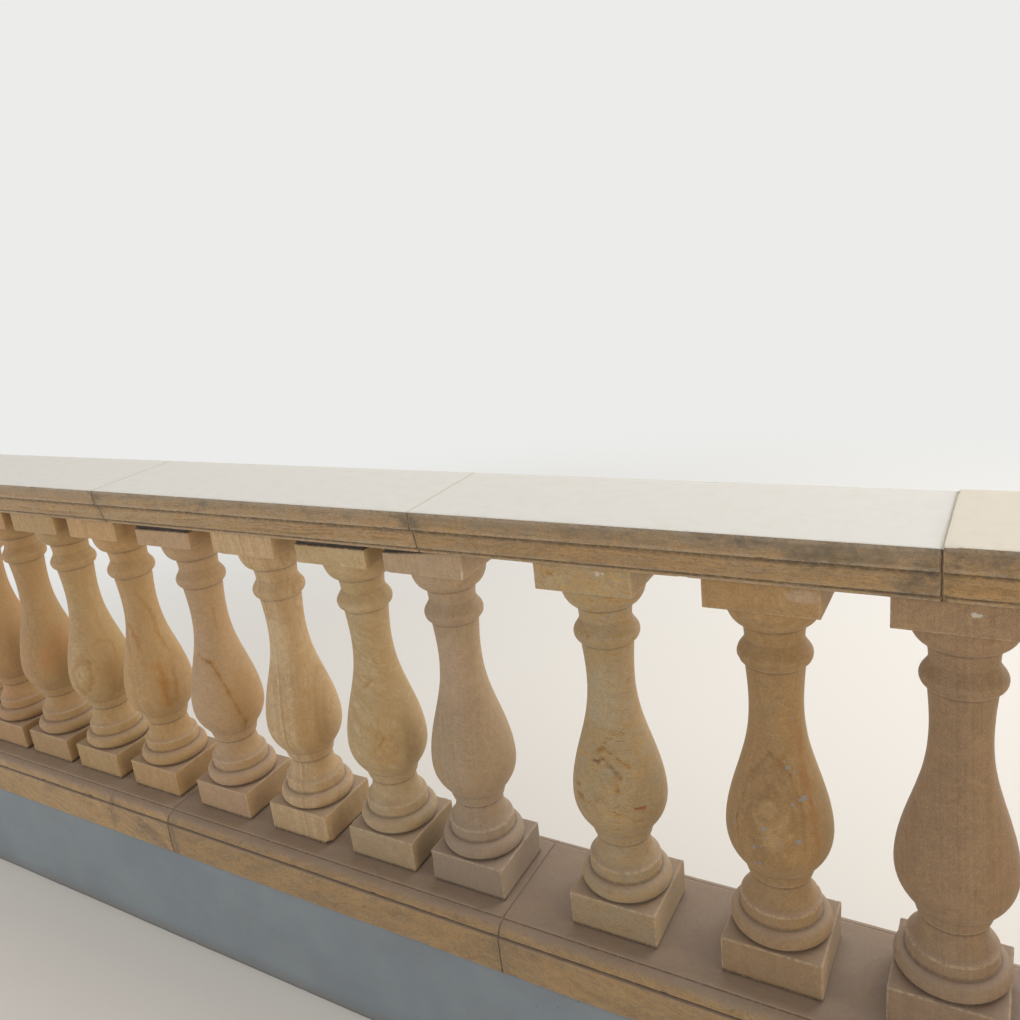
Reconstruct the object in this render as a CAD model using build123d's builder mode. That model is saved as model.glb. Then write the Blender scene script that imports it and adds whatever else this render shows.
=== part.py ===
"""Stone balustrade: four bays of turned sandstone balusters under a moulded coping,
standing on a moulded base rail and a low painted wall.

Millimetres. +X runs along the balustrade, +Y away from the viewer, +Z up.
The origin is on the ground, midway along and midway through the wall.
"""
import os

from build123d import *

# Low wall
wall_height = 270.0
wall_thickness = 272.0

# Base rail: a flat band, a groove, a quarter-round nosing and a narrow lip
rail_band_height = 77.0
rail_groove_height = 3.0
rail_groove_depth = 6.0
rail_roll_height = 21.0
rail_lip_height = 3.0
rail_depth = 280.0
rail_top_depth = 224.0
rail_roll_setback = 3.0
rail_joint_shift = 92.0

# Baluster, from the plinth block up
plinth_width = 155.0
plinth_height = 68.0
drum_radius = 78.5
drum_lower_height = 15.0
drum_upper_height = 17.0
drum_lower_round = 13.0
drum_upper_round = 15.5
rim_radius = 62.0
rim_height = 24.0
scotia_height = 43.0
throat_radius = 45.0
collar_foot_radius = 48.5
collar_top_radius = 55.0
collar_height = 24.0
belly_foot_radius = 56.5
belly_radius = 79.0
shaft_radius = 39.5
shaft_top_radius = 43.5
ring_radius = 54.0
ring_lower_height = 16.0
ring_upper_height = 24.0
neck_radius = 42.5
neck_height = 25.0
echinus_foot_radius = 46.0
echinus_radius = 69.0
echinus_height = 43.0
abacus_width = 160.0
abacus_height = 49.0

# Heights along the vase, above the collar, and the radii there
belly_low_rise = 20.0
belly_rise = 74.0
belly_high_rise = 139.0
waist_rise = 212.0
shaft_rise = 287.0
vase_height = 344.0
belly_low_radius = 70.0
belly_high_radius = 65.5
waist_radius = 45.5

# Coping: a bottom fillet, a leaning band and an upright fascia with a worn arris
coping_foot_depth = 186.0
coping_fillet_height = 9.0
coping_band_height = 37.0
coping_band_low_depth = 194.0
coping_band_high_depth = 210.0
coping_fascia_height = 32.0
coping_depth = 224.0
coping_arris_round = 6.0
stone_joint = 3.0

# Setting out: the distance from each baluster to the next, bay by bay
bay_pitches = [
    [190.0, 188.0, 196.0, 209.0],
    [226.0, 224.0, 217.0, 199.0],
    [290.0, 262.0, 241.0],
    [255.0, 255.0, 255.0],
]
# How far the courses run on past the middle of the end balusters
end_overhang = 112.0
# Coping joints, each measured from the baluster that ends its bay
coping_joint_shifts = [80.0, 9.0, -21.0]
# How much higher each coping stone stands than the thinnest one
coping_extra_heights = [0.0, 0.0, 0.0, 3.0]

# Levels
rail_height = rail_band_height + rail_groove_height + rail_roll_height + rail_lip_height
rail_bottom = wall_height
rail_top = rail_bottom + rail_height
drum_level = plinth_height
drum_waist_level = drum_level + drum_lower_height
rim_level = drum_waist_level + drum_upper_height
scotia_level = rim_level + rim_height
collar_level = scotia_level + scotia_height
vase_level = collar_level + collar_height
ring_level = vase_level + vase_height
ring_waist_level = ring_level + ring_lower_height
neck_level = ring_waist_level + ring_upper_height
echinus_level = neck_level + neck_height
abacus_level = echinus_level + echinus_height
baluster_height = abacus_level + abacus_height
coping_bottom = rail_top + baluster_height
coping_height = coping_fillet_height + coping_band_height + coping_fascia_height

# Places along the run
run_length = sum(sum(pitches) for pitches in bay_pitches)
baluster_places = [-run_length / 2]
bay_ends = []
for pitches in bay_pitches:
    for pitch in pitches:
        baluster_places.append(baluster_places[-1] + pitch)
    bay_ends.append(baluster_places[-1])
run_start = baluster_places[0] - end_overhang
run_end = baluster_places[-1] + end_overhang
coping_joints = [end + shift for end, shift in zip(bay_ends, coping_joint_shifts)]
rail_joints = [end + rail_joint_shift for end in bay_ends[:-1]]


def write_piece(piece, label):
    """Name a finished piece and write its STEP file."""
    piece.label = label
    export_step(piece, f"parts/{label}.step")


def stone_spans(joints):
    """Start and end of each stone of a course, with an open joint between stones."""
    starts = [run_start] + [joint + stone_joint / 2 for joint in joints]
    ends = [joint - stone_joint / 2 for joint in joints] + [run_end]
    return list(zip(starts, ends))


def course_plane(start, level):
    """Section plane of a course: its X is the depth of the stone, its Y the height."""
    return Plane(origin=(start, 0, level), x_dir=(0, 1, 0), z_dir=(1, 0, 0))


def make_baluster(place):
    """One turned baluster, square at head and foot, in a single stone."""
    foot = Plane(origin=(place, 0, rail_top))
    section = Plane(origin=(place, 0, rail_top), x_dir=(1, 0, 0), z_dir=(0, -1, 0))
    with BuildPart() as baluster:
        with BuildSketch(foot):
            Rectangle(plinth_width, plinth_width)
        extrude(amount=plinth_height)
        with BuildSketch(section):
            with BuildLine():
                # Drum, a squat cushion
                Line((0, drum_level), (drum_radius - drum_lower_round, drum_level))
                EllipticalCenterArc(
                    (drum_radius - drum_lower_round, drum_waist_level),
                    drum_lower_round,
                    drum_lower_height,
                    start_angle=-90,
                    arc_size=90,
                )
                EllipticalCenterArc(
                    (drum_radius - drum_upper_round, drum_waist_level),
                    drum_upper_round,
                    drum_upper_height,
                    arc_size=90,
                )
                Line((drum_radius - drum_upper_round, rim_level), (rim_radius, rim_level))
                # Upright rim, then the hollow of the scotia up to the throat
                Line((rim_radius, rim_level), (rim_radius, scotia_level))
                EllipticalCenterArc(
                    (rim_radius, collar_level),
                    rim_radius - throat_radius,
                    scotia_height,
                    start_angle=180,
                    arc_size=90,
                )
                # Collar under the belly
                Line((throat_radius, collar_level), (collar_foot_radius, collar_level))
                Line((collar_foot_radius, collar_level), (collar_top_radius, vase_level))
                Line((collar_top_radius, vase_level), (belly_foot_radius, vase_level))
                # Vase: belly, waist and shaft
                Spline(
                    (belly_foot_radius, vase_level),
                    (belly_low_radius, vase_level + belly_low_rise),
                    (belly_radius, vase_level + belly_rise),
                    (belly_high_radius, vase_level + belly_high_rise),
                    (waist_radius, vase_level + waist_rise),
                    (shaft_radius, vase_level + shaft_rise),
                    (shaft_top_radius, ring_level),
                )
                # Ring, flowing up into the hollow neck
                EllipticalCenterArc(
                    (shaft_top_radius, ring_waist_level),
                    ring_radius - shaft_top_radius,
                    ring_lower_height,
                    start_angle=-90,
                    arc_size=90,
                )
                Spline(
                    (ring_radius, ring_waist_level),
                    (neck_radius, neck_level),
                    tangents=[(0, 1), (0, 1)],
                )
                TangentArc(
                    (neck_radius, neck_level),
                    (echinus_foot_radius, echinus_level),
                    tangent=(0, 1),
                )
                # Echinus, swelling out to the square head
                EllipticalCenterArc(
                    (echinus_foot_radius, abacus_level),
                    echinus_radius - echinus_foot_radius,
                    echinus_height,
                    start_angle=-90,
                    arc_size=90,
                )
                Line((echinus_radius, abacus_level), (0, abacus_level))
                Line((0, abacus_level), (0, drum_level))
            make_face()
        revolve(axis=Axis((place, 0, 0), (0, 0, 1)))
        with BuildSketch(foot.offset(abacus_level)):
            Rectangle(abacus_width, abacus_width)
        extrude(amount=abacus_height)
    return baluster.part


def make_coping_stone(start, end, extra_height):
    """One moulded coping stone, its profile alike on both faces."""
    band_top = coping_fillet_height + coping_band_height
    stone_top = coping_height + extra_height
    with BuildPart() as stone:
        with BuildSketch(course_plane(start, coping_bottom)):
            with BuildLine():
                Polyline(
                    (0, 0),
                    (coping_foot_depth / 2, 0),
                    (coping_foot_depth / 2, coping_fillet_height),
                    (coping_band_low_depth / 2, coping_fillet_height),
                    (coping_band_high_depth / 2, band_top),
                    (coping_depth / 2, band_top),
                    (coping_depth / 2, stone_top - coping_arris_round),
                )
                RadiusArc(
                    (coping_depth / 2, stone_top - coping_arris_round),
                    (coping_depth / 2 - coping_arris_round, stone_top),
                    -coping_arris_round,
                )
                Line((coping_depth / 2 - coping_arris_round, stone_top), (0, stone_top))
                mirror(about=Plane.YZ)
            make_face()
        extrude(amount=end - start)
    return stone.part


def make_rail_stone(start, end):
    """One moulded stone of the base rail, its profile alike on both faces."""
    groove_bottom = rail_band_height
    groove_top = groove_bottom + rail_groove_height
    roll_top = groove_top + rail_roll_height
    roll_reach = rail_depth / 2 - rail_roll_setback
    with BuildPart() as stone:
        with BuildSketch(course_plane(start, rail_bottom)):
            with BuildLine():
                Polyline(
                    (0, 0),
                    (rail_depth / 2, 0),
                    (rail_depth / 2, groove_bottom),
                    (roll_reach - rail_groove_depth, groove_bottom),
                    (roll_reach - rail_groove_depth, groove_top),
                    (roll_reach, groove_top),
                )
                EllipticalCenterArc(
                    (rail_top_depth / 2, groove_top),
                    roll_reach - rail_top_depth / 2,
                    rail_roll_height,
                    arc_size=90,
                )
                Line((rail_top_depth / 2, roll_top), (rail_top_depth / 2, rail_height))
                Line((rail_top_depth / 2, rail_height), (0, rail_height))
                mirror(about=Plane.YZ)
            make_face()
        extrude(amount=end - start)
    return stone.part


os.makedirs("parts", exist_ok=True)

with BuildPart() as low_wall:
    with BuildSketch(course_plane(run_start, 0)):
        Rectangle(wall_thickness, wall_height, align=(Align.CENTER, Align.MIN))
    extrude(amount=run_end - run_start)
write_piece(low_wall.part, "low_wall")

for number, (start, end) in enumerate(stone_spans(rail_joints), 1):
    write_piece(make_rail_stone(start, end), f"base_rail_{number}")

for number, place in enumerate(baluster_places, 1):
    write_piece(make_baluster(place), f"baluster_{number:02d}")

for number, (span, extra) in enumerate(zip(stone_spans(coping_joints), coping_extra_heights), 1):
    write_piece(make_coping_stone(*span, extra), f"coping_{number}")
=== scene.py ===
"""Looks of a stone balustrade: turned sandstone balusters under a moulded coping,
on a moulded base rail and a low painted wall.

Metres. +X along the run, +Y away from the viewer, +Z up, as in the CAD frame.
"""

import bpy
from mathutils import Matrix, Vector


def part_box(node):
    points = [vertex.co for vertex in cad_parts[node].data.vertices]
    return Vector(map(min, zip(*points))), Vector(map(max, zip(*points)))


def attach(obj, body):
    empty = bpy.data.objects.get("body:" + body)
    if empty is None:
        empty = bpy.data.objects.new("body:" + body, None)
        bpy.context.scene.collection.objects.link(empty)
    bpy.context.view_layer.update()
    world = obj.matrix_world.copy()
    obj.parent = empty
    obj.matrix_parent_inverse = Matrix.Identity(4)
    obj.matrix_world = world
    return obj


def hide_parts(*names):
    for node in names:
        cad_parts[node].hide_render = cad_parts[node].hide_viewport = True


bl_info = {
    "name": "Stone Balustrade",
    "version": (1, 0, 0),
    "blender": (4, 5, 0),
    "location": "View3D > Sidebar > Balustrade",
    "description": "Turned sandstone balusters between a moulded coping and a base rail",
    "category": "Add Mesh",
}

import math
from functools import wraps
from types import SimpleNamespace

import bpy
import numpy as np
from bpy.props import FloatProperty, FloatVectorProperty, IntProperty, PointerProperty
from bpy.types import Operator, Panel, PropertyGroup
from mathutils import Matrix, Vector

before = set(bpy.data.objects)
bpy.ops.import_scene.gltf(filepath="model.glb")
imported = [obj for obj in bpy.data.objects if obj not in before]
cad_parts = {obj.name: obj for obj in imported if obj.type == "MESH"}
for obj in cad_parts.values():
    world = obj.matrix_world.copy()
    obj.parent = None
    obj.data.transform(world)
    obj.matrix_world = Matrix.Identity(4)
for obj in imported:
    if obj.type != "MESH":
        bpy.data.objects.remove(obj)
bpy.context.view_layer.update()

NODES = sorted(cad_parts)
BALUSTERS = [name for name in NODES if name.startswith("baluster_")]
RAILS = [name for name in NODES if name.startswith("base_rail_")]
COPINGS = [name for name in NODES if name.startswith("coping_")]
WALL = "low_wall"
BODY = "root"
MM = 0.001
ORIGIN = (0.0, 0.0, 0.0)
UP = (0.0, 0.0, 1.0)


# Properties

def linear(value):
    """Screen value from 0 to 255 to linear light."""
    value /= 255.0
    return value / 12.92 if value <= 0.04045 else ((value + 0.055) / 1.055) ** 2.4


def tint(shade):
    """Screen colour, from 0 to 255, to linear light with alpha, as a node takes it."""
    return (*map(linear, shade), 1.0)


def length(name, default, description):
    """A size in metres that a user may change."""
    return FloatProperty(
        name=name, description=description, default=default, min=0.0, unit="LENGTH", precision=4)


def power(name, default, description):
    """The power of a lamp."""
    return FloatProperty(
        name=name, description=description, default=default, min=0.0, unit="POWER")


class BalusterSizes(PropertyGroup):
    """Sizes of one turned baluster, from the plinth up."""
    plinth_width: length("Plinth width", 0.155, "Side of the square foot")
    plinth_height: length("Plinth height", 0.068, "Height of the square foot")
    drum_radius: length("Drum radius", 0.0785, "Radius of the cushion on the plinth")
    drum_lower: length("Drum lower half", 0.015, "Height of the cushion under its widest")
    drum_upper: length("Drum upper half", 0.017, "Height of the cushion over its widest")
    drum_lower_round: length("Drum lower round", 0.013, "Reach of the lower round")
    drum_upper_round: length("Drum upper round", 0.0155, "Reach of the upper round")
    rim_radius: length("Rim radius", 0.062, "Radius of the upright rim")
    rim_height: length("Rim height", 0.024, "Height of the upright rim")
    scotia_height: length("Scotia height", 0.043, "Height of the hollow above the rim")
    throat_radius: length("Throat radius", 0.045, "Radius at the top of the hollow")
    collar_foot: length("Collar foot radius", 0.0485, "Lower radius of the collar")
    collar_top: length("Collar top radius", 0.055, "Upper radius of the collar")
    collar_height: length("Collar height", 0.024, "Height of the collar")
    belly_foot: length("Belly foot radius", 0.0565, "Radius of the vase over the collar")
    vase_height: length("Vase height", 0.344, "Height from the collar to the ring")
    ring_radius: length("Ring radius", 0.054, "Radius of the ring")
    ring_lower: length("Ring lower half", 0.016, "Height of the ring under its widest")
    ring_upper: length("Ring upper half", 0.024, "Height from its widest to the neck")
    neck_radius: length("Neck radius", 0.0425, "Radius of the neck")
    neck_height: length("Neck height", 0.025, "Height of the neck")
    echinus_foot: length("Echinus foot radius", 0.046, "Radius under the swelling head")
    echinus_radius: length("Echinus radius", 0.069, "Radius of the head at the abacus")
    echinus_height: length("Echinus height", 0.043, "Height of the swelling head")
    abacus_width: length("Abacus width", 0.160, "Side of the square head")
    abacus_height: length("Abacus height", 0.049, "Height of the square head")
    arris_round: length("Arris round", 0.0022, "How far the square edges are worn round")
    rows: IntProperty(
        name="Rows", description="Rings of points up the turned part",
        default=150, min=40, max=400)
    segments: IntProperty(
        name="Segments", description="Points round the turned part",
        default=88, min=24, max=256)


class CourseSizes(PropertyGroup):
    """Sizes of the coping and the base rail, and how close the points stand along them."""
    coping_foot_depth: length("Coping foot depth", 0.186, "Depth of the bottom fillet")
    coping_fillet: length("Coping fillet", 0.009, "Height of the bottom fillet")
    coping_band: length("Coping band", 0.037, "Height of the leaning band")
    coping_low_depth: length("Coping band low", 0.194, "Depth at the foot of the band")
    coping_high_depth: length("Coping band high", 0.210, "Depth at the head of the band")
    rail_band: length("Rail band", 0.077, "Height of the flat band")
    rail_groove: length("Rail groove", 0.003, "Height of the groove")
    rail_groove_depth: length("Rail groove depth", 0.006, "Depth of the groove")
    rail_roll: length("Rail roll", 0.021, "Height of the nosing")
    rail_top_depth: length("Rail top depth", 0.224, "Depth of the flat top")
    rail_setback: length("Rail setback", 0.003, "How far the nosing stands back")
    station: length("Station", 0.006, "Distance between the rings of points along a stone")


class StageSizes(PropertyGroup):
    """Floor and light."""
    floor_size: length("Floor size", 40.0, "Side of the floor")
    key_power: power("Key power", 100.0, "Power of the large overhead lamp")
    fill_power: power("Fill power", 50.0, "Power of the lamp in front")
    back_power: power("Back power", 170.0, "Power of the lamp behind, which lights the edges")
    left_power: power("Left power", 75.0, "Power of the lamp at the left end")
    side_power: power("Side power", 120.0, "Power of the warm lamp at the right end")
    sky: FloatProperty(
        name="Sky", description="Strength of the even light from all round",
        default=0.5, min=0.0, max=2.0)
    floor_colour: FloatVectorProperty(
        name="Floor colour", description="Colour of the plain floor", subtype="COLOR", size=3,
        min=0.0, max=1.0, default=tint((226, 222, 216))[:3])


class BalustradeSettings(PropertyGroup):
    """All the settings of the balustrade."""
    baluster: PointerProperty(type=BalusterSizes)
    course: PointerProperty(type=CourseSizes)
    stage: PointerProperty(type=StageSizes)


# Node helpers

class Wire:
    """The output of a node. Arithmetic on it adds the nodes that work out the sum."""

    def __init__(self, tree, socket):
        self.tree = tree
        self.socket = socket

    def __add__(self, other):
        return work_out("ADD", self, other)

    def __sub__(self, other):
        return work_out("SUBTRACT", self, other)

    def __rsub__(self, other):
        return work_out("SUBTRACT", other, self)

    def __mul__(self, other):
        if is_vector(self) == is_vector(other):
            return work_out("MULTIPLY", self, other)
        whole, factor = (self, other) if is_vector(self) else (other, self)
        return put(self.tree, "ShaderNodeVectorMath", {0: whole, "Scale": factor},
                   operation="SCALE")["Vector"]

    def __truediv__(self, other):
        return work_out("DIVIDE", self, other)

    def __rtruediv__(self, other):
        return work_out("DIVIDE", other, self)

    def __abs__(self):
        return work_out("ABSOLUTE", self)

    __radd__ = __add__
    __rmul__ = __mul__

    def size(self):
        """Length of a vector."""
        return work_out("LENGTH", self)

    def unit(self):
        """Vector of length one the same way."""
        return work_out("NORMALIZE", self)

    def parts(self):
        """The three values of a vector."""
        out = put(self.tree, "ShaderNodeSeparateXYZ", {0: self})
        return out[0], out[1], out[2]

    def clamped(self):
        """The value, kept between 0 and 1."""
        return put(self.tree, "ShaderNodeClamp", {0: self})[0]

    def ramp(self, low, high, bottom=0.0, top=1.0):
        """Smooth step from bottom to top while the value goes from low to high."""
        return put(self.tree, "ShaderNodeMapRange", {
            "Value": self, "From Min": low, "From Max": high, "To Min": bottom, "To Max": top,
        }, interpolation_type="SMOOTHSTEP")[0]

    def noises(self, scale, detail=2.0, roughness=0.5, distortion=0.0):
        """Noise at this place, as one value and as three."""
        out = put(self.tree, "ShaderNodeTexNoise", {
            "Vector": self, "Scale": scale, "Detail": detail, "Roughness": roughness,
            "Distortion": distortion,
        })
        return out[0], out["Color"]

    def noise(self, *settings):
        """Noise at this place, as one value."""
        return self.noises(*settings)[0]

    def wobble(self, scale, detail, roughness, reach):
        """A vector that wanders from place to place, up to half the reach each way."""
        return (self.noises(scale, detail, roughness)[1] - 0.5) * reach


def is_vector(value):
    """Tells vectors and colours from plain values."""
    if isinstance(value, Wire):
        return value.socket.type in ("VECTOR", "RGBA")
    return isinstance(value, tuple)


def tree_of(values):
    """The node tree that the first wire among the values lies in."""
    return next(value.tree for value in values if isinstance(value, Wire))


def feed(socket, value):
    """Gives an input a wire or a plain value."""
    if isinstance(value, Wire):
        value.tree.links.new(value.socket, socket)
    else:
        socket.default_value = value


def put(tree, kind, inputs=None, **settings):
    """Adds a node and gives its outputs, both by number and by name."""
    node = tree.nodes.new(kind)
    for key, value in settings.items():
        setattr(node, key, value)
    for key, value in (inputs or {}).items():
        feed(node.inputs[key], value)
    wires = [Wire(tree, socket) for socket in node.outputs]
    return {**dict(enumerate(wires)), **{wire.socket.name: wire for wire in wires}}


def work_out(operation, *values):
    """Math node, or Vector Math where one of the values is a vector."""
    tree = tree_of(values)
    if not any(map(is_vector, values)):
        return put(tree, "ShaderNodeMath", dict(enumerate(values)), operation=operation)[0]
    spread = [(value,) * 3 if isinstance(value, float) else value for value in values]
    out = put(tree, "ShaderNodeVectorMath", dict(enumerate(spread)), operation=operation)
    return out["Value" if operation in ("LENGTH", "DOT_PRODUCT") else "Vector"]


def least(*values):
    """The smallest of the values."""
    first, *rest = values
    return work_out("MINIMUM", first, least(*rest)) if rest else first


def most(*values):
    """The largest of the values."""
    first, *rest = values
    return work_out("MAXIMUM", first, most(*rest)) if rest else first


def xyz(x, y, z):
    """Vector from three values."""
    return put(tree_of((x, y, z)), "ShaderNodeCombineXYZ", {0: x, 1: y, 2: z})[0]


def mix(factor, first, second):
    """Mix of two colours or of two values."""
    kind, low, out = ("RGBA", 6, 2) if is_vector(first) or is_vector(second) else ("FLOAT", 2, 0)
    inputs = {0: factor, low: first, low + 1: second}
    return put(tree_of(inputs.values()), "ShaderNodeMix", inputs, data_type=kind)[out]


def socket_name(key):
    """Name that a group's socket shows: wander_size becomes Wander size."""
    return key.replace("_", " ").capitalize()


def node_group(name, kind="ShaderNodeTree", **inputs):
    """Makes a function build its node group once and give that group at every call.

    The inputs are named with their defaults, or with their kind where they have none.
    The function is given the tree and its inputs, and gives back the outputs by name.
    """
    kinds = {float: "Float", int: "Int", tuple: "Vector"}
    output_kind = "Float" if kind == "ShaderNodeTree" else "Geometry"

    def wrap(fill):
        @wraps(fill)
        def build():
            made = bpy.data.node_groups.get(name)
            if made:
                return made
            tree = bpy.data.node_groups.new(name, kind)
            for key, default in inputs.items():
                socket = tree.interface.new_socket(
                    name=socket_name(key), in_out="INPUT",
                    socket_type="NodeSocket" + kinds.get(type(default), default))
                if type(default) in kinds:
                    socket.default_value = default
            entry = tree.nodes.new("NodeGroupInput")
            given = {key: Wire(tree, socket) for key, socket in zip(inputs, entry.outputs)}
            results = fill(tree, SimpleNamespace(**given))
            for key in results:
                tree.interface.new_socket(
                    name=socket_name(key), in_out="OUTPUT",
                    socket_type="NodeSocket" + output_kind)
            way_out = tree.nodes.new("NodeGroupOutput")
            for key, value in results.items():
                feed(way_out.inputs[socket_name(key)], value)
            return tree
        return build
    return wrap


def use(group, known=None, **inputs):
    """Places a group and gives its outputs by name.

    An input that isn't named takes the known value of its name, if there is one.
    """
    tree = tree_of(inputs.values())
    node = tree.nodes.new(group.bl_idname.replace("Tree", "Group"))
    node.node_tree = group
    for key, value in {**(known or {}), **inputs}.items():
        if socket_name(key) in node.inputs:
            feed(node.inputs[socket_name(key)], value)
    return {socket.name.lower(): Wire(tree, socket) for socket in node.outputs}


# Outlines

def arc(centre, across, up, start, sweep, count=40):
    """Points on a part of an ellipse, angles in degrees."""
    angles = np.radians(np.linspace(start, start + sweep, count))
    return [(centre[0] + across * math.cos(a), centre[1] + up * math.sin(a)) for a in angles]


def smooth_through(rises, radii, count=160):
    """Natural cubic curve through the radii at the given rises."""
    x, y = np.array(rises, float), np.array(radii, float)
    gaps, slopes = np.diff(x), np.diff(y) / np.diff(x)
    size = len(x)
    system, right = np.eye(size), np.zeros(size)
    for i in range(1, size - 1):
        system[i, i - 1:i + 2] = gaps[i - 1], 2 * (gaps[i - 1] + gaps[i]), gaps[i]
        right[i] = 6 * (slopes[i] - slopes[i - 1])
    bend = np.linalg.solve(system, right)
    places = np.linspace(x[0], x[-1], count)
    spans = np.clip(np.searchsorted(x, places, side="right") - 1, 0, size - 2)
    h, left, far = gaps[spans], places - x[spans], x[spans + 1] - places
    values = (bend[spans] * far ** 3 + bend[spans + 1] * left ** 3) / (6 * h)
    values += (y[spans] / h - bend[spans] * h / 6) * far
    values += (y[spans + 1] / h - bend[spans + 1] * h / 6) * left
    return list(zip(values, places))


def blurred(values, reach, closed):
    """Gaussian blur of rows of values, reach in samples."""
    span = int(3 * reach) + 1
    kernel = np.exp(-0.5 * (np.arange(-span, span + 1) / reach) ** 2)
    kernel /= kernel.sum()
    padded = np.pad(values, ((span, span), (0, 0)), mode="wrap" if closed else "edge")
    return np.stack([np.convolve(padded[:, i], kernel, "valid") for i in range(values.shape[1])], 1)


def worn_outline(corners, closed, count, wear=1.3 * MM, crisp=0.3 * MM, crowd=1.0):
    """Points along an outline, with its arrises worn round and its hollows kept crisp.

    Gives the points, how sharp an arris and how deep a nook each lies on, from 0 to 1.
    The points stand closer where the outline turns, and closer still with more crowd.
    """
    step = 0.25 * MM
    line = np.array(corners + corners[:1] if closed else corners, float)
    run = np.concatenate(([0], np.cumsum(np.linalg.norm(np.diff(line, axis=0), axis=1))))
    samples = np.arange(0, run[-1], step)
    dense = np.stack([np.interp(samples, run, line[:, i]) for i in (0, 1)], 1)

    def turning(points, reach):
        """Turn of the outline for each metre along it, averaged over a reach."""
        ahead = np.roll(points, -1, 0) - points
        back = points - np.roll(points, 1, 0)
        turn = np.arctan2(
            back[:, 0] * ahead[:, 1] - back[:, 1] * ahead[:, 0], (back * ahead).sum(1))
        if not closed:
            turn[[0, -1]] = 0
        return blurred(turn[:, None], reach / step, closed)[:, 0] / step

    # Hollow, arris and nook come from how sharply the outline turns over a few millimetres
    hollow = np.clip(-turning(dense, 2.5 * MM) * 4 * MM, 0, 1)
    hollow = np.clip(hollow * 3, 0, 1)[:, None]
    soft, sharp = blurred(dense, wear / step, closed), blurred(dense, crisp / step, closed)
    shaped = soft * (1 - hollow) + sharp * hollow
    if not closed:
        shaped[0], shaped[-1] = dense[0], dense[-1]
    turn = turning(shaped, 1.2 * MM)
    arris = np.clip(turning(shaped, 2.0 * MM) * 9 * MM - 0.15, 0, 1)
    nook = np.clip(-turning(shaped, 3.0 * MM) * 14 * MM - 0.1, 0, 1)
    weight = np.cumsum(1 + crowd * 14 * MM * np.abs(turn))
    wanted = np.linspace(weight[0], weight[-1], count + (1 if closed else 0))
    if closed:
        wanted = wanted[:-1]
    pick = np.clip(np.searchsorted(weight, wanted), 0, len(shaped) - 1)
    return shaped[pick], arris[pick], nook[pick]


def outline_object(name, points, arris, nook, extra=()):
    """Loose points for a tree to read: an outline and, after it, a row of other values."""
    mesh = bpy.data.meshes.new(name)
    rows = [(x, 0.0, z) for x, z in points] + [(value, 0.0, 0.0) for value in extra]
    mesh.from_pydata(rows, [], [])
    for key, values in (("arris", arris), ("nook", nook)):
        layer = mesh.attributes.new(key, "FLOAT", "POINT")
        layer.data.foreach_set("value", list(values) + [0.0] * len(extra))
    piece = bpy.data.objects.new(name, mesh)
    bpy.context.scene.collection.objects.link(piece)
    return piece


# Heights on the vase over the collar, and the radii there, between its foot and its top
VASE_RISES = (0.020, 0.074, 0.139, 0.212, 0.287)
VASE_RADII = (0.070, 0.079, 0.0655, 0.0455, 0.0395)
SHAFT_TOP = 0.0435
# How far the turned part reaches into the square blocks
TUCK = 6 * MM


def even_shares(count):
    """Even shares of a whole, the last of them 1."""
    return np.arange(1, count + 1) / count


def turned_outline(size):
    """Radius and height of the turned part, from the plinth to the abacus, and its top."""
    level = size.plinth_height
    corners = [(size.drum_radius - size.drum_lower_round, level - TUCK)]
    level += size.drum_lower
    corners += arc((size.drum_radius - size.drum_lower_round, level),
                   size.drum_lower_round, size.drum_lower, -90, 90)
    corners += arc((size.drum_radius - size.drum_upper_round, level),
                   size.drum_upper_round, size.drum_upper, 0, 90)
    level += size.drum_upper
    corners += [(size.rim_radius, level)]
    level += size.rim_height
    corners += arc((size.rim_radius, level + size.scotia_height),
                   size.throat_radius - size.rim_radius, size.scotia_height, -90, 90)
    level += size.scotia_height
    corners += [(size.collar_foot, level)]
    level += size.collar_height
    corners += [(size.collar_top, level), (size.belly_foot, level)]
    vase = smooth_through((0, *VASE_RISES, size.vase_height),
                          (size.belly_foot, *VASE_RADII, SHAFT_TOP))
    corners += [(radius, level + rise) for radius, rise in vase][1:]
    level += size.vase_height
    corners += arc((SHAFT_TOP, level + size.ring_lower),
                   size.ring_radius - SHAFT_TOP, size.ring_lower, -90, 90)
    level += size.ring_lower
    for part in even_shares(32):
        fall = 3 * part ** 2 - 2 * part ** 3
        corners.append((size.ring_radius - (size.ring_radius - size.neck_radius) * fall,
                        level + size.ring_upper * part))
    level += size.ring_upper
    for part in even_shares(12):
        corners.append((size.neck_radius + (size.echinus_foot - size.neck_radius) * part ** 2,
                        level + size.neck_height * part))
    level += size.neck_height + size.echinus_height
    corners += arc((size.echinus_foot, level),
                   size.echinus_radius - size.echinus_foot, size.echinus_height, -90, 90)[1:]
    corners.append((corners[-1][0], level + TUCK))
    return corners, level


def mirrored(right):
    """A whole section from the points of its right half."""
    return right + [(-y, z) for y, z in reversed(right)]


def coping_outline(size, low, high):
    """Section of a coping stone as depth and height."""
    half = (high.y - low.y) / 2
    band_top = size.coping_fillet + size.coping_band
    return mirrored([
        (size.coping_foot_depth / 2, 0.0),
        (size.coping_foot_depth / 2, size.coping_fillet),
        (size.coping_low_depth / 2, size.coping_fillet),
        (size.coping_high_depth / 2, band_top),
        (half, band_top),
        (half, high.z - low.z),
    ])


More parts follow.
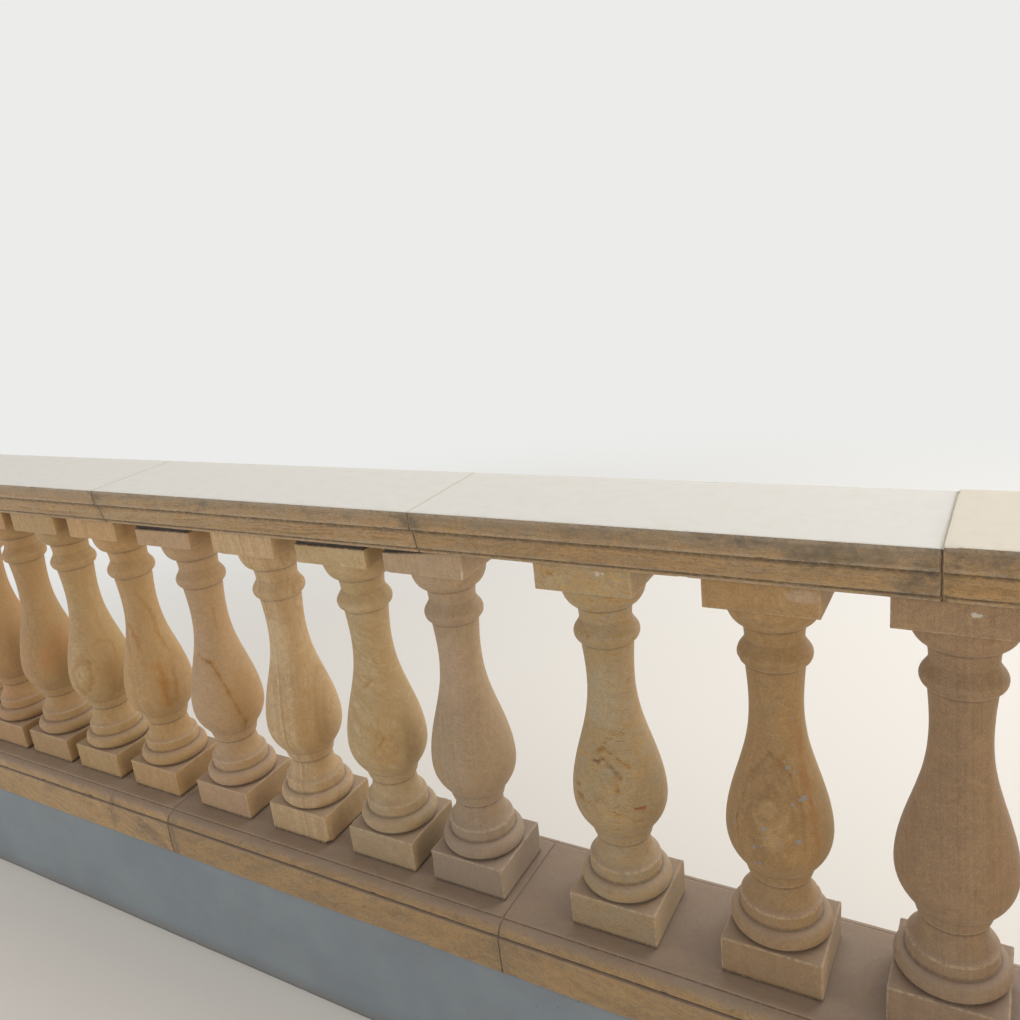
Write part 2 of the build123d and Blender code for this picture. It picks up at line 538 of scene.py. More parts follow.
def rail_outline(size, low, high):
    """Section of a base rail stone as depth and height."""
    half = (high.y - low.y) / 2
    lip = size.rail_top_depth / 2
    groove_top = size.rail_band + size.rail_groove
    reach = half - size.rail_setback
    nosing = arc((lip, groove_top), reach - lip, size.rail_roll, 0, 90, 24)
    return mirrored([
        (half, 0.0),
        (half, size.rail_band),
        (reach - size.rail_groove_depth, size.rail_band),
        (reach - size.rail_groove_depth, groove_top),
        *nosing,
        (lip, high.z - low.z),
    ])


def wall_outline(size, low, high):
    """Section of the wall."""
    half = (high.y - low.y) / 2
    return mirrored([(half, 0.0), (half, high.z - low.z)])


# Geometry trees

def here(tree):
    """The place of each point, as it is where the value is used."""
    return put(tree, "GeometryNodeInputPosition")[0]


def kept(tree, name):
    """A value that the mesh keeps under a name."""
    return put(tree, "GeometryNodeInputNamedAttribute", {"Name": name}, data_type="FLOAT")[0]


def stored(geometry, name, value, domain="POINT"):
    """Keeps a value on the mesh under a name, for the materials."""
    inputs = {"Geometry": geometry, "Name": name, "Value": value}
    return put(geometry.tree, "GeometryNodeStoreNamedAttribute", inputs,
               data_type="FLOAT", domain=domain)[0]


def moved(geometry, key, value):
    """Moves the points to a Position or by an Offset."""
    return put(geometry.tree, "GeometryNodeSetPosition", {"Geometry": geometry, key: value})[0]


def read_outline(source, index, name=None):
    """A named value of one point of the outline, or the place of that point."""
    value = kept(source.tree, name) if name else here(source.tree)
    inputs = {"Geometry": source, "Value": value, "Index": index}
    return put(source.tree, "GeometryNodeSampleIndex", inputs, domain="POINT", clamp=True,
               data_type="FLOAT" if name else "FLOAT_VECTOR")[0]


def finished(geometry, material, flat=None):
    """Last nodes of a tree: whole mesh, smooth but for its flat faces, with its material."""
    tree = geometry.tree
    whole = put(tree, "GeometryNodeRealizeInstances", {0: geometry})[0]
    smooth = put(tree, "GeometryNodeSetShadeSmooth", {"Geometry": whole})[0]
    if flat is not None:
        inputs = {"Geometry": smooth, "Selection": flat, "Shade Smooth": False}
        smooth = put(tree, "GeometryNodeSetShadeSmooth", inputs)[0]
    inputs = {"Geometry": smooth, "Material": material}
    return {"geometry": put(tree, "GeometryNodeSetMaterial", inputs)[0]}


def ringed_tube(tree, around, rings):
    """A tube of radius one, the x, y and ring of each point, and the number of the last ring."""
    last = rings - 1.0
    inputs = {"Vertices": around, "Side Segments": last, "Radius": 1.0, "Depth": last}
    tube = put(tree, "GeometryNodeMeshCylinder", inputs, fill_type="NGON")
    x, y, z = here(tree).parts()
    return tube, x, y, work_out("ROUND", z + last * 0.5), last


@node_group(
    "Weathered faces", "GeometryNodeTree", geometry="Geometry", wear_depth=0.0005,
    wear_size=0.06, chip_depth=0.003, chip_size=0.018, chip_level=0.62, seed=0.0)
def weathered_faces(tree, given):
    """Wear for any stone: slow unevenness, bruised arrises, a few lost corners."""
    shifted = here(tree) + given.seed * (0.37, 0.71, 0.53)
    normal = put(tree, "GeometryNodeInputNormal")["Normal"]
    arris = kept(tree, "arris")

    def wave(size, detail):
        return shifted.noise(1.0 / size, detail, 0.55)

    slow = wave(given.wear_size, 2.0) * given.wear_depth
    bruise = wave(given.chip_size, 3.0).ramp(given.chip_level, given.chip_level + 0.14)
    bruise = bruise * arris * given.chip_depth
    fine = wave(given.chip_size * 0.35, 2.0) * arris * (0.6 * MM)
    inward = slow + (bruise + fine)
    return {"geometry": moved(given.geometry, "Offset", normal * (inward * -1.0))}


# Points along the edges of a square block, across and up
BLOCK_ACROSS, BLOCK_UP = 25, 15


def square_block(tree, width, height, level, round_, nook_low, nook_high):
    """Square block with rounded arrises, its points crowded towards them."""
    block = put(tree, "GeometryNodeMeshCube", {
        "Size": (2.0, 2.0, 2.0), "Vertices X": BLOCK_ACROSS, "Vertices Y": BLOCK_ACROSS,
        "Vertices Z": BLOCK_UP,
    })[0]
    place = here(tree)
    left = 1.0 - abs(place)
    crowded = 1.0 - left * left
    half_height = height * 0.5
    half = xyz(width * 0.5, width * 0.5, half_height)
    spread = work_out("SIGN", place) * crowded * half
    core = half - round_
    inner = most(core * -1.0, least(spread, core))
    shaped = inner + (spread - inner).unit() * round_
    # An arris is where two of the three coordinates come near the outside
    x, y, z = (half - abs(spread)).parts()
    middle = x + (y + z) - (least(x, y, z) + most(x, y, z))
    block = stored(block, "arris", middle.ramp(0.006, 0.0005))
    # The foot and the head of a block count as nooks, which the stone paints darker: painted contact
    # shade with some dirt
    rise = spread.parts()[2]
    low = (rise + half_height).ramp(0.013, 0.002) * nook_low
    high = (half_height - rise).ramp(0.008, 0.0) * nook_high
    block = stored(block, "nook", most(low, high))
    return moved(block, "Position", shaped + xyz(0.0, 0.0, half_height + level))


@node_group(
    "Turned stone", "GeometryNodeTree", outline="Geometry", rows=150, segments=88,
    plinth_width=0.155, plinth_height=0.068, abacus_width=0.160, abacus_height=0.049,
    abacus_level=0.643, arris_round=0.002, contact_radius=0.072, bed_gap_left=0.0,
    bed_gap_right=0.0, chip_depth=0.003, chip_level=0.62, lost_corner=ORIGIN,
    lost_corner_size=0.0, seed=0.0, place=ORIGIN, stone="Material")
def turned_stone(tree, given):
    """A baluster cut from one stone: square foot, turned middle, square head."""
    tube, x, y, row, _ = ringed_tube(tree, given.segments, given.rows)
    radius, _, level = read_outline(given.outline, row).parts()
    body = stored(tube[0], "arris", read_outline(given.outline, row, "arris"))
    body = stored(body, "nook", read_outline(given.outline, row, "nook") * 0.6)
    body = moved(body, "Position", xyz(x * radius, y * radius, level))
    plinth = square_block(
        tree, given.plinth_width, given.plinth_height, 0.0, given.arris_round, 1.0, 0.0)
    abacus = square_block(
        tree, given.abacus_width, given.abacus_height, given.abacus_level, given.arris_round,
        0.0, 1.0)
    joined = tree.nodes.new("GeometryNodeJoinGeometry")
    for shell in (body, plinth, abacus):
        feed(joined.inputs[0], shell)

    # Painted shade with some dirt where the cushion meets the plinth
    place = here(tree)
    x, y, z = place.parts()
    beside = abs(xyz(x, y, 0.0).size() - given.contact_radius).ramp(0.010, 0.002)
    contact = beside * abs(z - given.plinth_height).ramp(0.006, 0.001, 0.0, 0.6)
    with_contact_shade = stored(Wire(tree, joined.outputs[0]), "nook", most(kept(tree, "nook"), contact))
    worn = use(
        weathered_faces(), geometry=with_contact_shade, wear_depth=0.7 * MM, wear_size=0.05,
        chip_depth=given.chip_depth, chip_size=0.02, chip_level=given.chip_level,
        seed=given.seed)["geometry"]

    # The head stands a little low under an open bed joint
    across = x.ramp(-0.08, 0.08)
    gap = given.bed_gap_left + across * (given.bed_gap_right - given.bed_gap_left)
    share = ((z - given.abacus_level) / given.abacus_height).clamped()
    lowered = moved(worn, "Offset", xyz(0.0, 0.0, gap * share * -1.0))

    # A broken corner: points inside a rough ball are pushed out to its skin
    away = place - given.lost_corner
    ball = given.lost_corner_size * (place.noise(90.0, 3.0, 0.6) + 0.6)
    push = most(ball - most(away.size(), 0.1 * MM), 0.0)
    broken = moved(lowered, "Offset", away.unit() * push)
    return finished(moved(broken, "Offset", given.place), given.stone)


@node_group(
    "Moulded course", "GeometryNodeTree", outline="Geometry", section_points=80, stations=100,
    wear_depth=0.0006, wear_size=0.09, chip_depth=0.003, chip_size=0.02, chip_level=0.6,
    seed=0.0, bottom=0.0, stone="Material")
def moulded_course(tree, given):
    """A stone of a course: its section carried along the run from end to end."""
    tube, x, y, ring, last = ringed_tube(tree, given.section_points, given.stations)
    turn = work_out("ARCTAN2", y, x) / math.tau
    column = work_out("ROUND", (turn + 1.0) * given.section_points)
    column = work_out("FLOORED_MODULO", column, given.section_points)
    depth, _, height = read_outline(given.outline, column).parts()
    # The outline's points are followed by one for each ring, which gives its place along
    along, first, final = (
        read_outline(given.outline, given.section_points + number).parts()[0]
        for number in (ring, 0.0, last))
    from_end = least(along - first, final - along)
    arris = read_outline(given.outline, column, "arris")
    swept = tube[0]
    for name, value in (
        ("arris", most(arris, from_end.ramp(0.003, 0.0003))),
        ("nook", read_outline(given.outline, column, "nook")),
        ("joint", from_end.ramp(0.035, 0.0)),
    ):
        swept = stored(swept, name, value)
    swept = moved(swept, "Position", xyz(along, depth, height + given.bottom))
    clean = use(
        weathered_faces(), geometry=swept, wear_depth=given.wear_depth,
        wear_size=given.wear_size, chip_depth=given.chip_depth, chip_size=given.chip_size,
        chip_level=given.chip_level, seed=given.seed)["geometry"]
    # The end faces take no wear, painted crease shade or dirt from the edges round them, and less
    # soot
    ends = most(tube[1], tube[3])
    for name, value in (("arris", 0.0), ("nook", 0.0), ("joint", -2.0)):
        clean = stored(clean, name, kept(tree, name) * tube[2] + ends * value, "CORNER")
    return finished(clean, given.stone, ends)


def run_tree(piece, tree, **values):
    """Runs a tree on a piece once and leaves a plain mesh in its place."""
    modifier = piece.modifiers.new(tree.name, "NODES")
    modifier.node_group = tree
    identifiers = {
        item.name: item.identifier for item in tree.interface.items_tree
        if item.item_type == "SOCKET" and item.in_out == "INPUT"
    }
    for key, value in values.items():
        modifier[identifiers[socket_name(key)]] = value
    graph = bpy.context.evaluated_depsgraph_get()
    mesh = bpy.data.meshes.new_from_object(
        piece.evaluated_get(graph), preserve_all_data_layers=True, depsgraph=graph)
    piece.modifiers.clear()
    source = piece.data
    piece.data = mesh
    bpy.data.meshes.remove(source)
    mesh.name = piece.name
    if not mesh.polygons:
        raise RuntimeError(f"{piece.name} came out empty")
    return piece


def stand_for(piece, node):
    """The piece rides on the body and replaces its CAD node."""
    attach(piece, BODY)
    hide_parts(node)


# Shader groups

def object_place(tree):
    """The place on the stone, in metres."""
    return put(tree, "ShaderNodeTexCoord")["Object"]


def facing(tree):
    """How far the surface faces right, away and up."""
    return put(tree, "ShaderNodeNewGeometry")["Normal"].parts()


@node_group("Sandstone grain", place=ORIGIN, grain_size=0.0020)
def sandstone_grain(tree, given):
    """Sand grains, small pits and soft mottling."""
    place = given.place
    scale = 1.0 / given.grain_size
    grains = place.noise(scale, 2.0, 0.7)
    clumps = place.noise(scale * 0.27, 3.0, 0.6)
    lumps, colours = place.noises(scale * 0.14, 6.0, 0.8, 1.2)
    pits = put(tree, "ShaderNodeTexVoronoi", {"Vector": place, "Scale": scale * 0.37})["Distance"]
    pit = pits.ramp(0.22, 0.06) * clumps.ramp(0.52, 0.66)
    return {
        "speckle": grains.ramp(0.3, 0.7),
        "clump": lumps.ramp(0.32, 0.68),
        "blush": colours.parts()[1].ramp(0.40, 0.66),
        "height": grains * 0.45 + clumps * 0.55 - pit * 0.7,
        "mottle": place.noise(scale * 0.09, 5.0, 0.65, 1.5).ramp(0.32, 0.68),
    }


@node_group(
    "Sandstone bedding", place=ORIGIN, across=UP, spacing=0.012, wander=0.01, wander_size=0.12,
    vein_width=0.02, wisp_size=0.03, stretch=2.0, seed=0.0)
def sandstone_bedding(tree, given):
    """Beds of a sandstone: planes across one direction, bent by slow drifts."""
    shifted = given.place + given.seed * (1.3, 0.7, 0.9)
    scale = 1.0 / given.wander_size
    bent = shifted + shifted.wobble(scale, 2.0, 0.5, given.wander * 2.0)
    bent = bent + shifted.wobble(100.0, 3.0, 0.6, 0.004)
    across = given.across.unit()
    level = work_out("DOT_PRODUCT", bent, across)
    count = level / given.spacing

    def beds(step, detail):
        return put(tree, "ShaderNodeTexNoise", {
            "W": count * step, "Scale": 1.0, "Detail": detail, "Roughness": 0.6,
        }, noise_dimensions="1D")[0]

    near = abs(beds(0.6, 2.0) - 0.5)
    breaks = shifted.noise(scale * 3.0)
    # Clouds and wisps are drawn out along the beds
    flat = bent + across * (level * given.stretch)
    scale = 1.0 / given.wisp_size
    flow = flat.noise(scale, 6.0, 0.66, 1.2)
    patch = shifted.noise(scale * 0.4, 3.0, 0.6)
    return {
        "band": beds(1.0, 2.0).ramp(0.3, 0.7),
        "fine": beds(2.6, 3.0).ramp(0.32, 0.68),
        "vein": near.ramp(given.vein_width, 0.0) * breaks.ramp(0.42, 0.6),
        "cloud": flat.noise(scale * 0.6, 4.0, 0.6, 0.5).ramp(0.4, 0.62),
        "wisp": flow.ramp(0.53, 0.64) * patch.ramp(0.42, 0.58),
        "streak": flat.noise(scale * 2.6, 4.0, 0.7, 0.6).ramp(0.46, 0.66),
    }


@node_group(
    "Weathering", place=ORIGIN, arris=0.0, nook=0.0, joint=0.0, soot_size=0.05,
    soot_level=0.6, ledge_patch=0.7, film_start=0.66, film_full=0.38, film_ragged=0.12)
def weathering(tree, given):
    """Where weather and dirt settle, and where light and shade are painted: ledges with a painted sky
    reflection or painted shade, worn arrises, nooks with painted shade and some dirt, soot, joints,
    and painted shade with some dirt by height.
    """
    place = given.place
    flat = facing(tree)[2].ramp(0.5, 0.96)
    patch = place.noise(35.0, 4.0, 0.6)
    fine = place.noise(160.0, 3.0, 0.6)
    # Height for the film colour: painted shade with some dirt, darker towards the feet of the
    # balusters and the top of the coping's band
    height = place.parts()[2] + (patch - 0.5) * given.film_ragged
    film = height.ramp(given.film_start, given.film_full)
    # Patches of soot are longer along the run
    cloud = (place * (0.45, 1.0, 1.0)).noise(1.0 / given.soot_size, 7.0, 0.72)
    level = given.soot_level - (given.joint * 0.12 + film * 0.10)
    soot = cloud.ramp(level, level + 0.24) * fine.ramp(0.3, 0.62, 0.45, 1.0)
    return {
        # Upward faces, in patches, for the ledge colour: a painted sky reflection or painted shade
        "ledge": flat * patch.ramp(0.2, 0.6, given.ledge_patch, 1.0),
        "worn": given.arris.ramp(0.25, 0.9) * fine.ramp(0.35, 0.6),
        # Nooks, for the painted crease shade with some dirt
        "grime": given.nook.ramp(0.25, 1.0) * fine.ramp(0.3, 0.6, 0.5, 1.0),
        "soot": soot * (1.0 - flat),
        "film": film,
    }


@node_group("Ragged spot", place=ORIGIN, centre=ORIGIN, size=(0.02, 0.02, 0.02))
def ragged_spot(tree, given):
    """A ragged spot at one place on the stone."""
    away = (given.place - given.centre) / given.size
    reach = (away + away.wobble(1.6, 4.0, 0.65, 1.6)).size()
    return {"spot": reach.ramp(1.1, 0.55)}


@node_group(
    "Drawn vein", place=ORIGIN, start=ORIGIN, end=(0.0, 0.0, 0.1), width=0.004, wander=0.01)
def drawn_vein(tree, given):
    """A single vein or crack that wanders from one point to another."""
    place = given.place
    run = given.end - given.start
    from_start = place + place.wobble(40.0, 5.0, 0.7, given.wander * 2.0) - given.start
    share = work_out("DOT_PRODUCT", from_start, run) / work_out("DOT_PRODUCT", run, run)
    reach = (from_start - run * share.clamped()).size()
    breadth = given.width * place.noise(48.0, 3.0, 0.6).ramp(0.3, 0.7, 0.4, 1.5)
    faint = place.noises(34.0, 4.0, 0.6)[1].parts()[2]
    return {"line": reach.ramp(breadth, 0.0) * faint.ramp(0.34, 0.56, 0.35, 1.0)}


@node_group("Whorl", place=ORIGIN, centre=ORIGIN, size=(0.03, 0.04, 0.04), rings=3.0)
def whorl(tree, given):
    """Rings round one place, where a bed just breaks the surface."""
    place = given.place
    away = (place - given.centre) / given.size
    reach = (away + place.wobble(26.0, 4.0, 0.6, 1.1)).size()
    turn = reach * given.rings * math.tau
    wave = work_out("SINE", turn + place.noise(60.0, 3.0, 0.6) * 5.0)
    fade = reach.ramp(1.15, 0.5)
    return {"dark": wave.ramp(0.1, 0.9) * fade, "pale": wave.ramp(0.0, -0.9) * fade}


@node_group("Paint fleck", place=ORIGIN, centre=ORIGIN, size=0.003)
def paint_fleck(tree, given):
    """A small splash of paint or plaster."""
    reach = (given.place - given.centre).size()
    return {"fleck": reach.ramp(given.size, given.size * 0.6)}


# Materials

def attribute(tree, name):
    """A value kept on the mesh."""
    return put(tree, "ShaderNodeAttribute", attribute_name=name)["Fac"]


def bare_material(name):
    """A material with only its Principled shader and output."""
    material = bpy.data.materials.new(name)
    material.use_nodes = True
    tree = material.node_tree
    tree.nodes.clear()
    shader = tree.nodes.new("ShaderNodeBsdfPrincipled")
    output = tree.nodes.new("ShaderNodeOutputMaterial")
    tree.links.new(shader.outputs[0], output.inputs[0])
    return material, tree, shader


def bump(height, distance, strength, normal=None):
    """Bump node, on top of another one's normal if there is one."""
    inputs = {"Height": height, "Distance": distance, "Strength": strength}
    if normal is not None:
        inputs["Normal"] = normal
    return put(height.tree, "ShaderNodeBump", inputs)[0]


def dress(shader, **inputs):
    """Feeds the inputs of a Principled shader."""
    for key, value in inputs.items():
        feed(shader.inputs[key.replace("_", " ").title()], value)


# What a sandstone has unless its own look says otherwise: screen colours, how much of
# each shows over the base, and the directions, sizes and levels of beds and weathering.
# The head is how much paler the stone is painted near its top, a painted light on the heads under the
# coping.
STONE = dict(
    base=(156, 126, 90), band=(146, 114, 76), band_share=0.5,
    cloud=(162, 126, 78), cloud_share=0.5, fine=(172, 146, 112), fine_share=0.25,
    wisp=(164, 120, 64), wisp_share=0.25, vein=(136, 98, 58), vein_share=0.3,
    mottle=(164, 138, 104), mottle_share=0.35, blush=(170, 132, 78), blush_share=0.35,
    clump=0.075, streak=(132, 100, 64), streak_share=0.24,
    # Upward faces take the ledge colour, a painted sky reflection
    ledge=(158, 138, 122), ledge_share=0.5, worn=(188, 166, 136), worn_share=0.45,
    # The dark colour for nooks is painted crease shade with some dirt
    grime=(60, 45, 37), grime_share=0.88, soot=(96, 90, 80), soot_share=0.0,
    soot_size=0.05, soot_level=0.6, across=(0.1, 0.15, 1.0), spacing=0.012, wander=0.02,
    wander_size=0.12, vein_width=0.02, wisp_size=0.03, grain_size=0.0020, relief=0.0005,
    tooling=0.0, ledge_roughness=0.75, ledge_patch=0.7, stretch=2.0,
    # The film colour darkens the low parts: painted shade with some dirt
    film=(122, 108, 96), film_share=0.15, film_start=0.62, film_full=0.40, film_ragged=0.12,
    # The warm colour for faces that look to +X is a painted bounce light
    sheltered=(182, 146, 92), sheltered_share=0.35, head=1.12, seed=0.0,
    spots=(), whorls=(), lines=(), flecks=(),
)
# Between these heights the stone is painted paler, a painted light on the heads under the coping
HEAD_LIGHT_START, HEAD_LIGHT_FULL = 0.92, 1.02


def sandstone(name, own):
    """Sandstone with its own beds, veins, marks and weathering, and some painted light and shade."""
    look = dict(STONE, **own)
    material, tree, shader = bare_material(name)
    place = object_place(tree)
    kept_values = {key: attribute(tree, key) for key in ("arris", "nook", "joint")}
    masks = {
        **use(sandstone_bedding(), look, place=place),
        **use(sandstone_grain(), look, place=place),
        **use(weathering(), look, place=place, **kept_values),
        # Painted bounce light: faces that look to +X take a warmer colour
        "sheltered": facing(tree)[0].ramp(0.2, 0.95),
    }
    stone = tint(look["base"])

    def lay(mask, share, paint):
        nonlocal stone
        stone = mix(mask * share, stone, tint(paint))

    def lay_layers(*layers):
        for layer in layers:
            lay(masks[layer], look[layer + "_share"], look[layer])

    lay_layers("band", "cloud", "fine", "wisp", "streak", "vein", "mottle", "blush")
    for centre, size, paint, share in look["spots"]:
        lay(use(ragged_spot(), place=place, centre=centre, size=size)["spot"], share, paint)
    for centre, size, rings, dark, pale, share in look["whorls"]:
        ring = use(whorl(), place=place, centre=centre, size=size, rings=rings)
        lay(ring["pale"], share, pale)
        lay(ring["dark"], share, dark)
    for start, end, width, wander, paint, share in look["lines"]:
        line = use(drawn_vein(), place=place, start=start, end=end, width=width, wander=wander)
        lay(line["line"], share, paint)
    clump = look["clump"]
    speck = masks["speckle"].ramp(0.0, 1.0, 0.88, 1.12)
    speck = speck * masks["clump"].ramp(0.0, 1.0, 1.0 - clump, 1.0 + clump)
    # Painted light: the heads are painted paler, standing for the bounce light that reaches them from
    # below
    height = place.parts()[2]
    stone = stone * (speck * height.ramp(HEAD_LIGHT_START, HEAD_LIGHT_FULL, 1.0, look["head"]))
    # The warm colour on +X faces, the darker low parts, the ledge colour and the nook colour are
    # painted light and shade
    lay_layers("sheltered", "film", "ledge", "soot", "worn", "grime")
    ragged = place + place.wobble(260.0, 2.0, 0.5, 0.005) if look["flecks"] else place
    for centre, size, paint, share in look["flecks"]:
        lay(use(paint_fleck(), place=ragged, centre=centre, size=size)["fleck"], share, paint)
    relief = bump(masks["height"], look["relief"], 0.6)
    relief = bump(masks["fine"], 0.1 * MM, 0.4, relief)
    if look["tooling"]:
        turns = put(tree, "ShaderNodeTexNoise", {"W": height, "Scale": 420.0, "Detail": 2.0},
                    noise_dimensions="1D")[0]
        relief = bump(turns, look["tooling"], 0.6, relief)
    rough = masks["mottle"].ramp(0.0, 1.0, 0.7, 0.84)
    # The sheen is loose dust on the stone, which catches light at a low angle
    dress(shader, base_color=stone, roughness=mix(masks["ledge"], rough, look["ledge_roughness"]),
          normal=relief, sheen_weight=0.12, sheen_roughness=0.45, sheen_tint=tint((255, 242, 220)))
    return material


BLUE_GREY = (128, 134, 142)
WHITE_PLASTER = (196, 186, 172)


def chain(points, *rest):
    """A drawn vein through several points: width, wander, colour and share follow them."""
    return tuple((first, second, *rest) for first, second in zip(points, points[1:]))


# Marks that stand out on some of the balusters, as points on the stone
SLANT = ((-0.5982, -0.0499, 0.7564), (-0.5704, -0.0486, 0.7409), (-0.5528, -0.0471, 0.7117),
         (-0.5377, -0.0448, 0.6767), (-0.5258, -0.0392, 0.6294), (-0.5249, -0.0247, 0.5941),
         (-0.5452, -0.0193, 0.5591))
OVAL = (0.599, -0.066, 0.700)
EGG = ((0.558, -0.0678, 0.6121), (0.5494, -0.0571, 0.6655), (0.5656, -0.049, 0.7264),
       (0.5971, -0.0446, 0.7793), (0.6254, -0.0445, 0.7467), (0.6442, -0.0515, 0.6875),
       (0.6481, -0.0607, 0.634))
RUST_LEFT = ((-0.759, -0.036, 0.700), (-0.7554, -0.0387, 0.6603), (-0.7535, -0.0398, 0.6000))
RUST_RIGHT = ((-0.7529, -0.0004, 0.720), (-0.7458, -0.0101, 0.6625), (-0.746, -0.020, 0.6052))

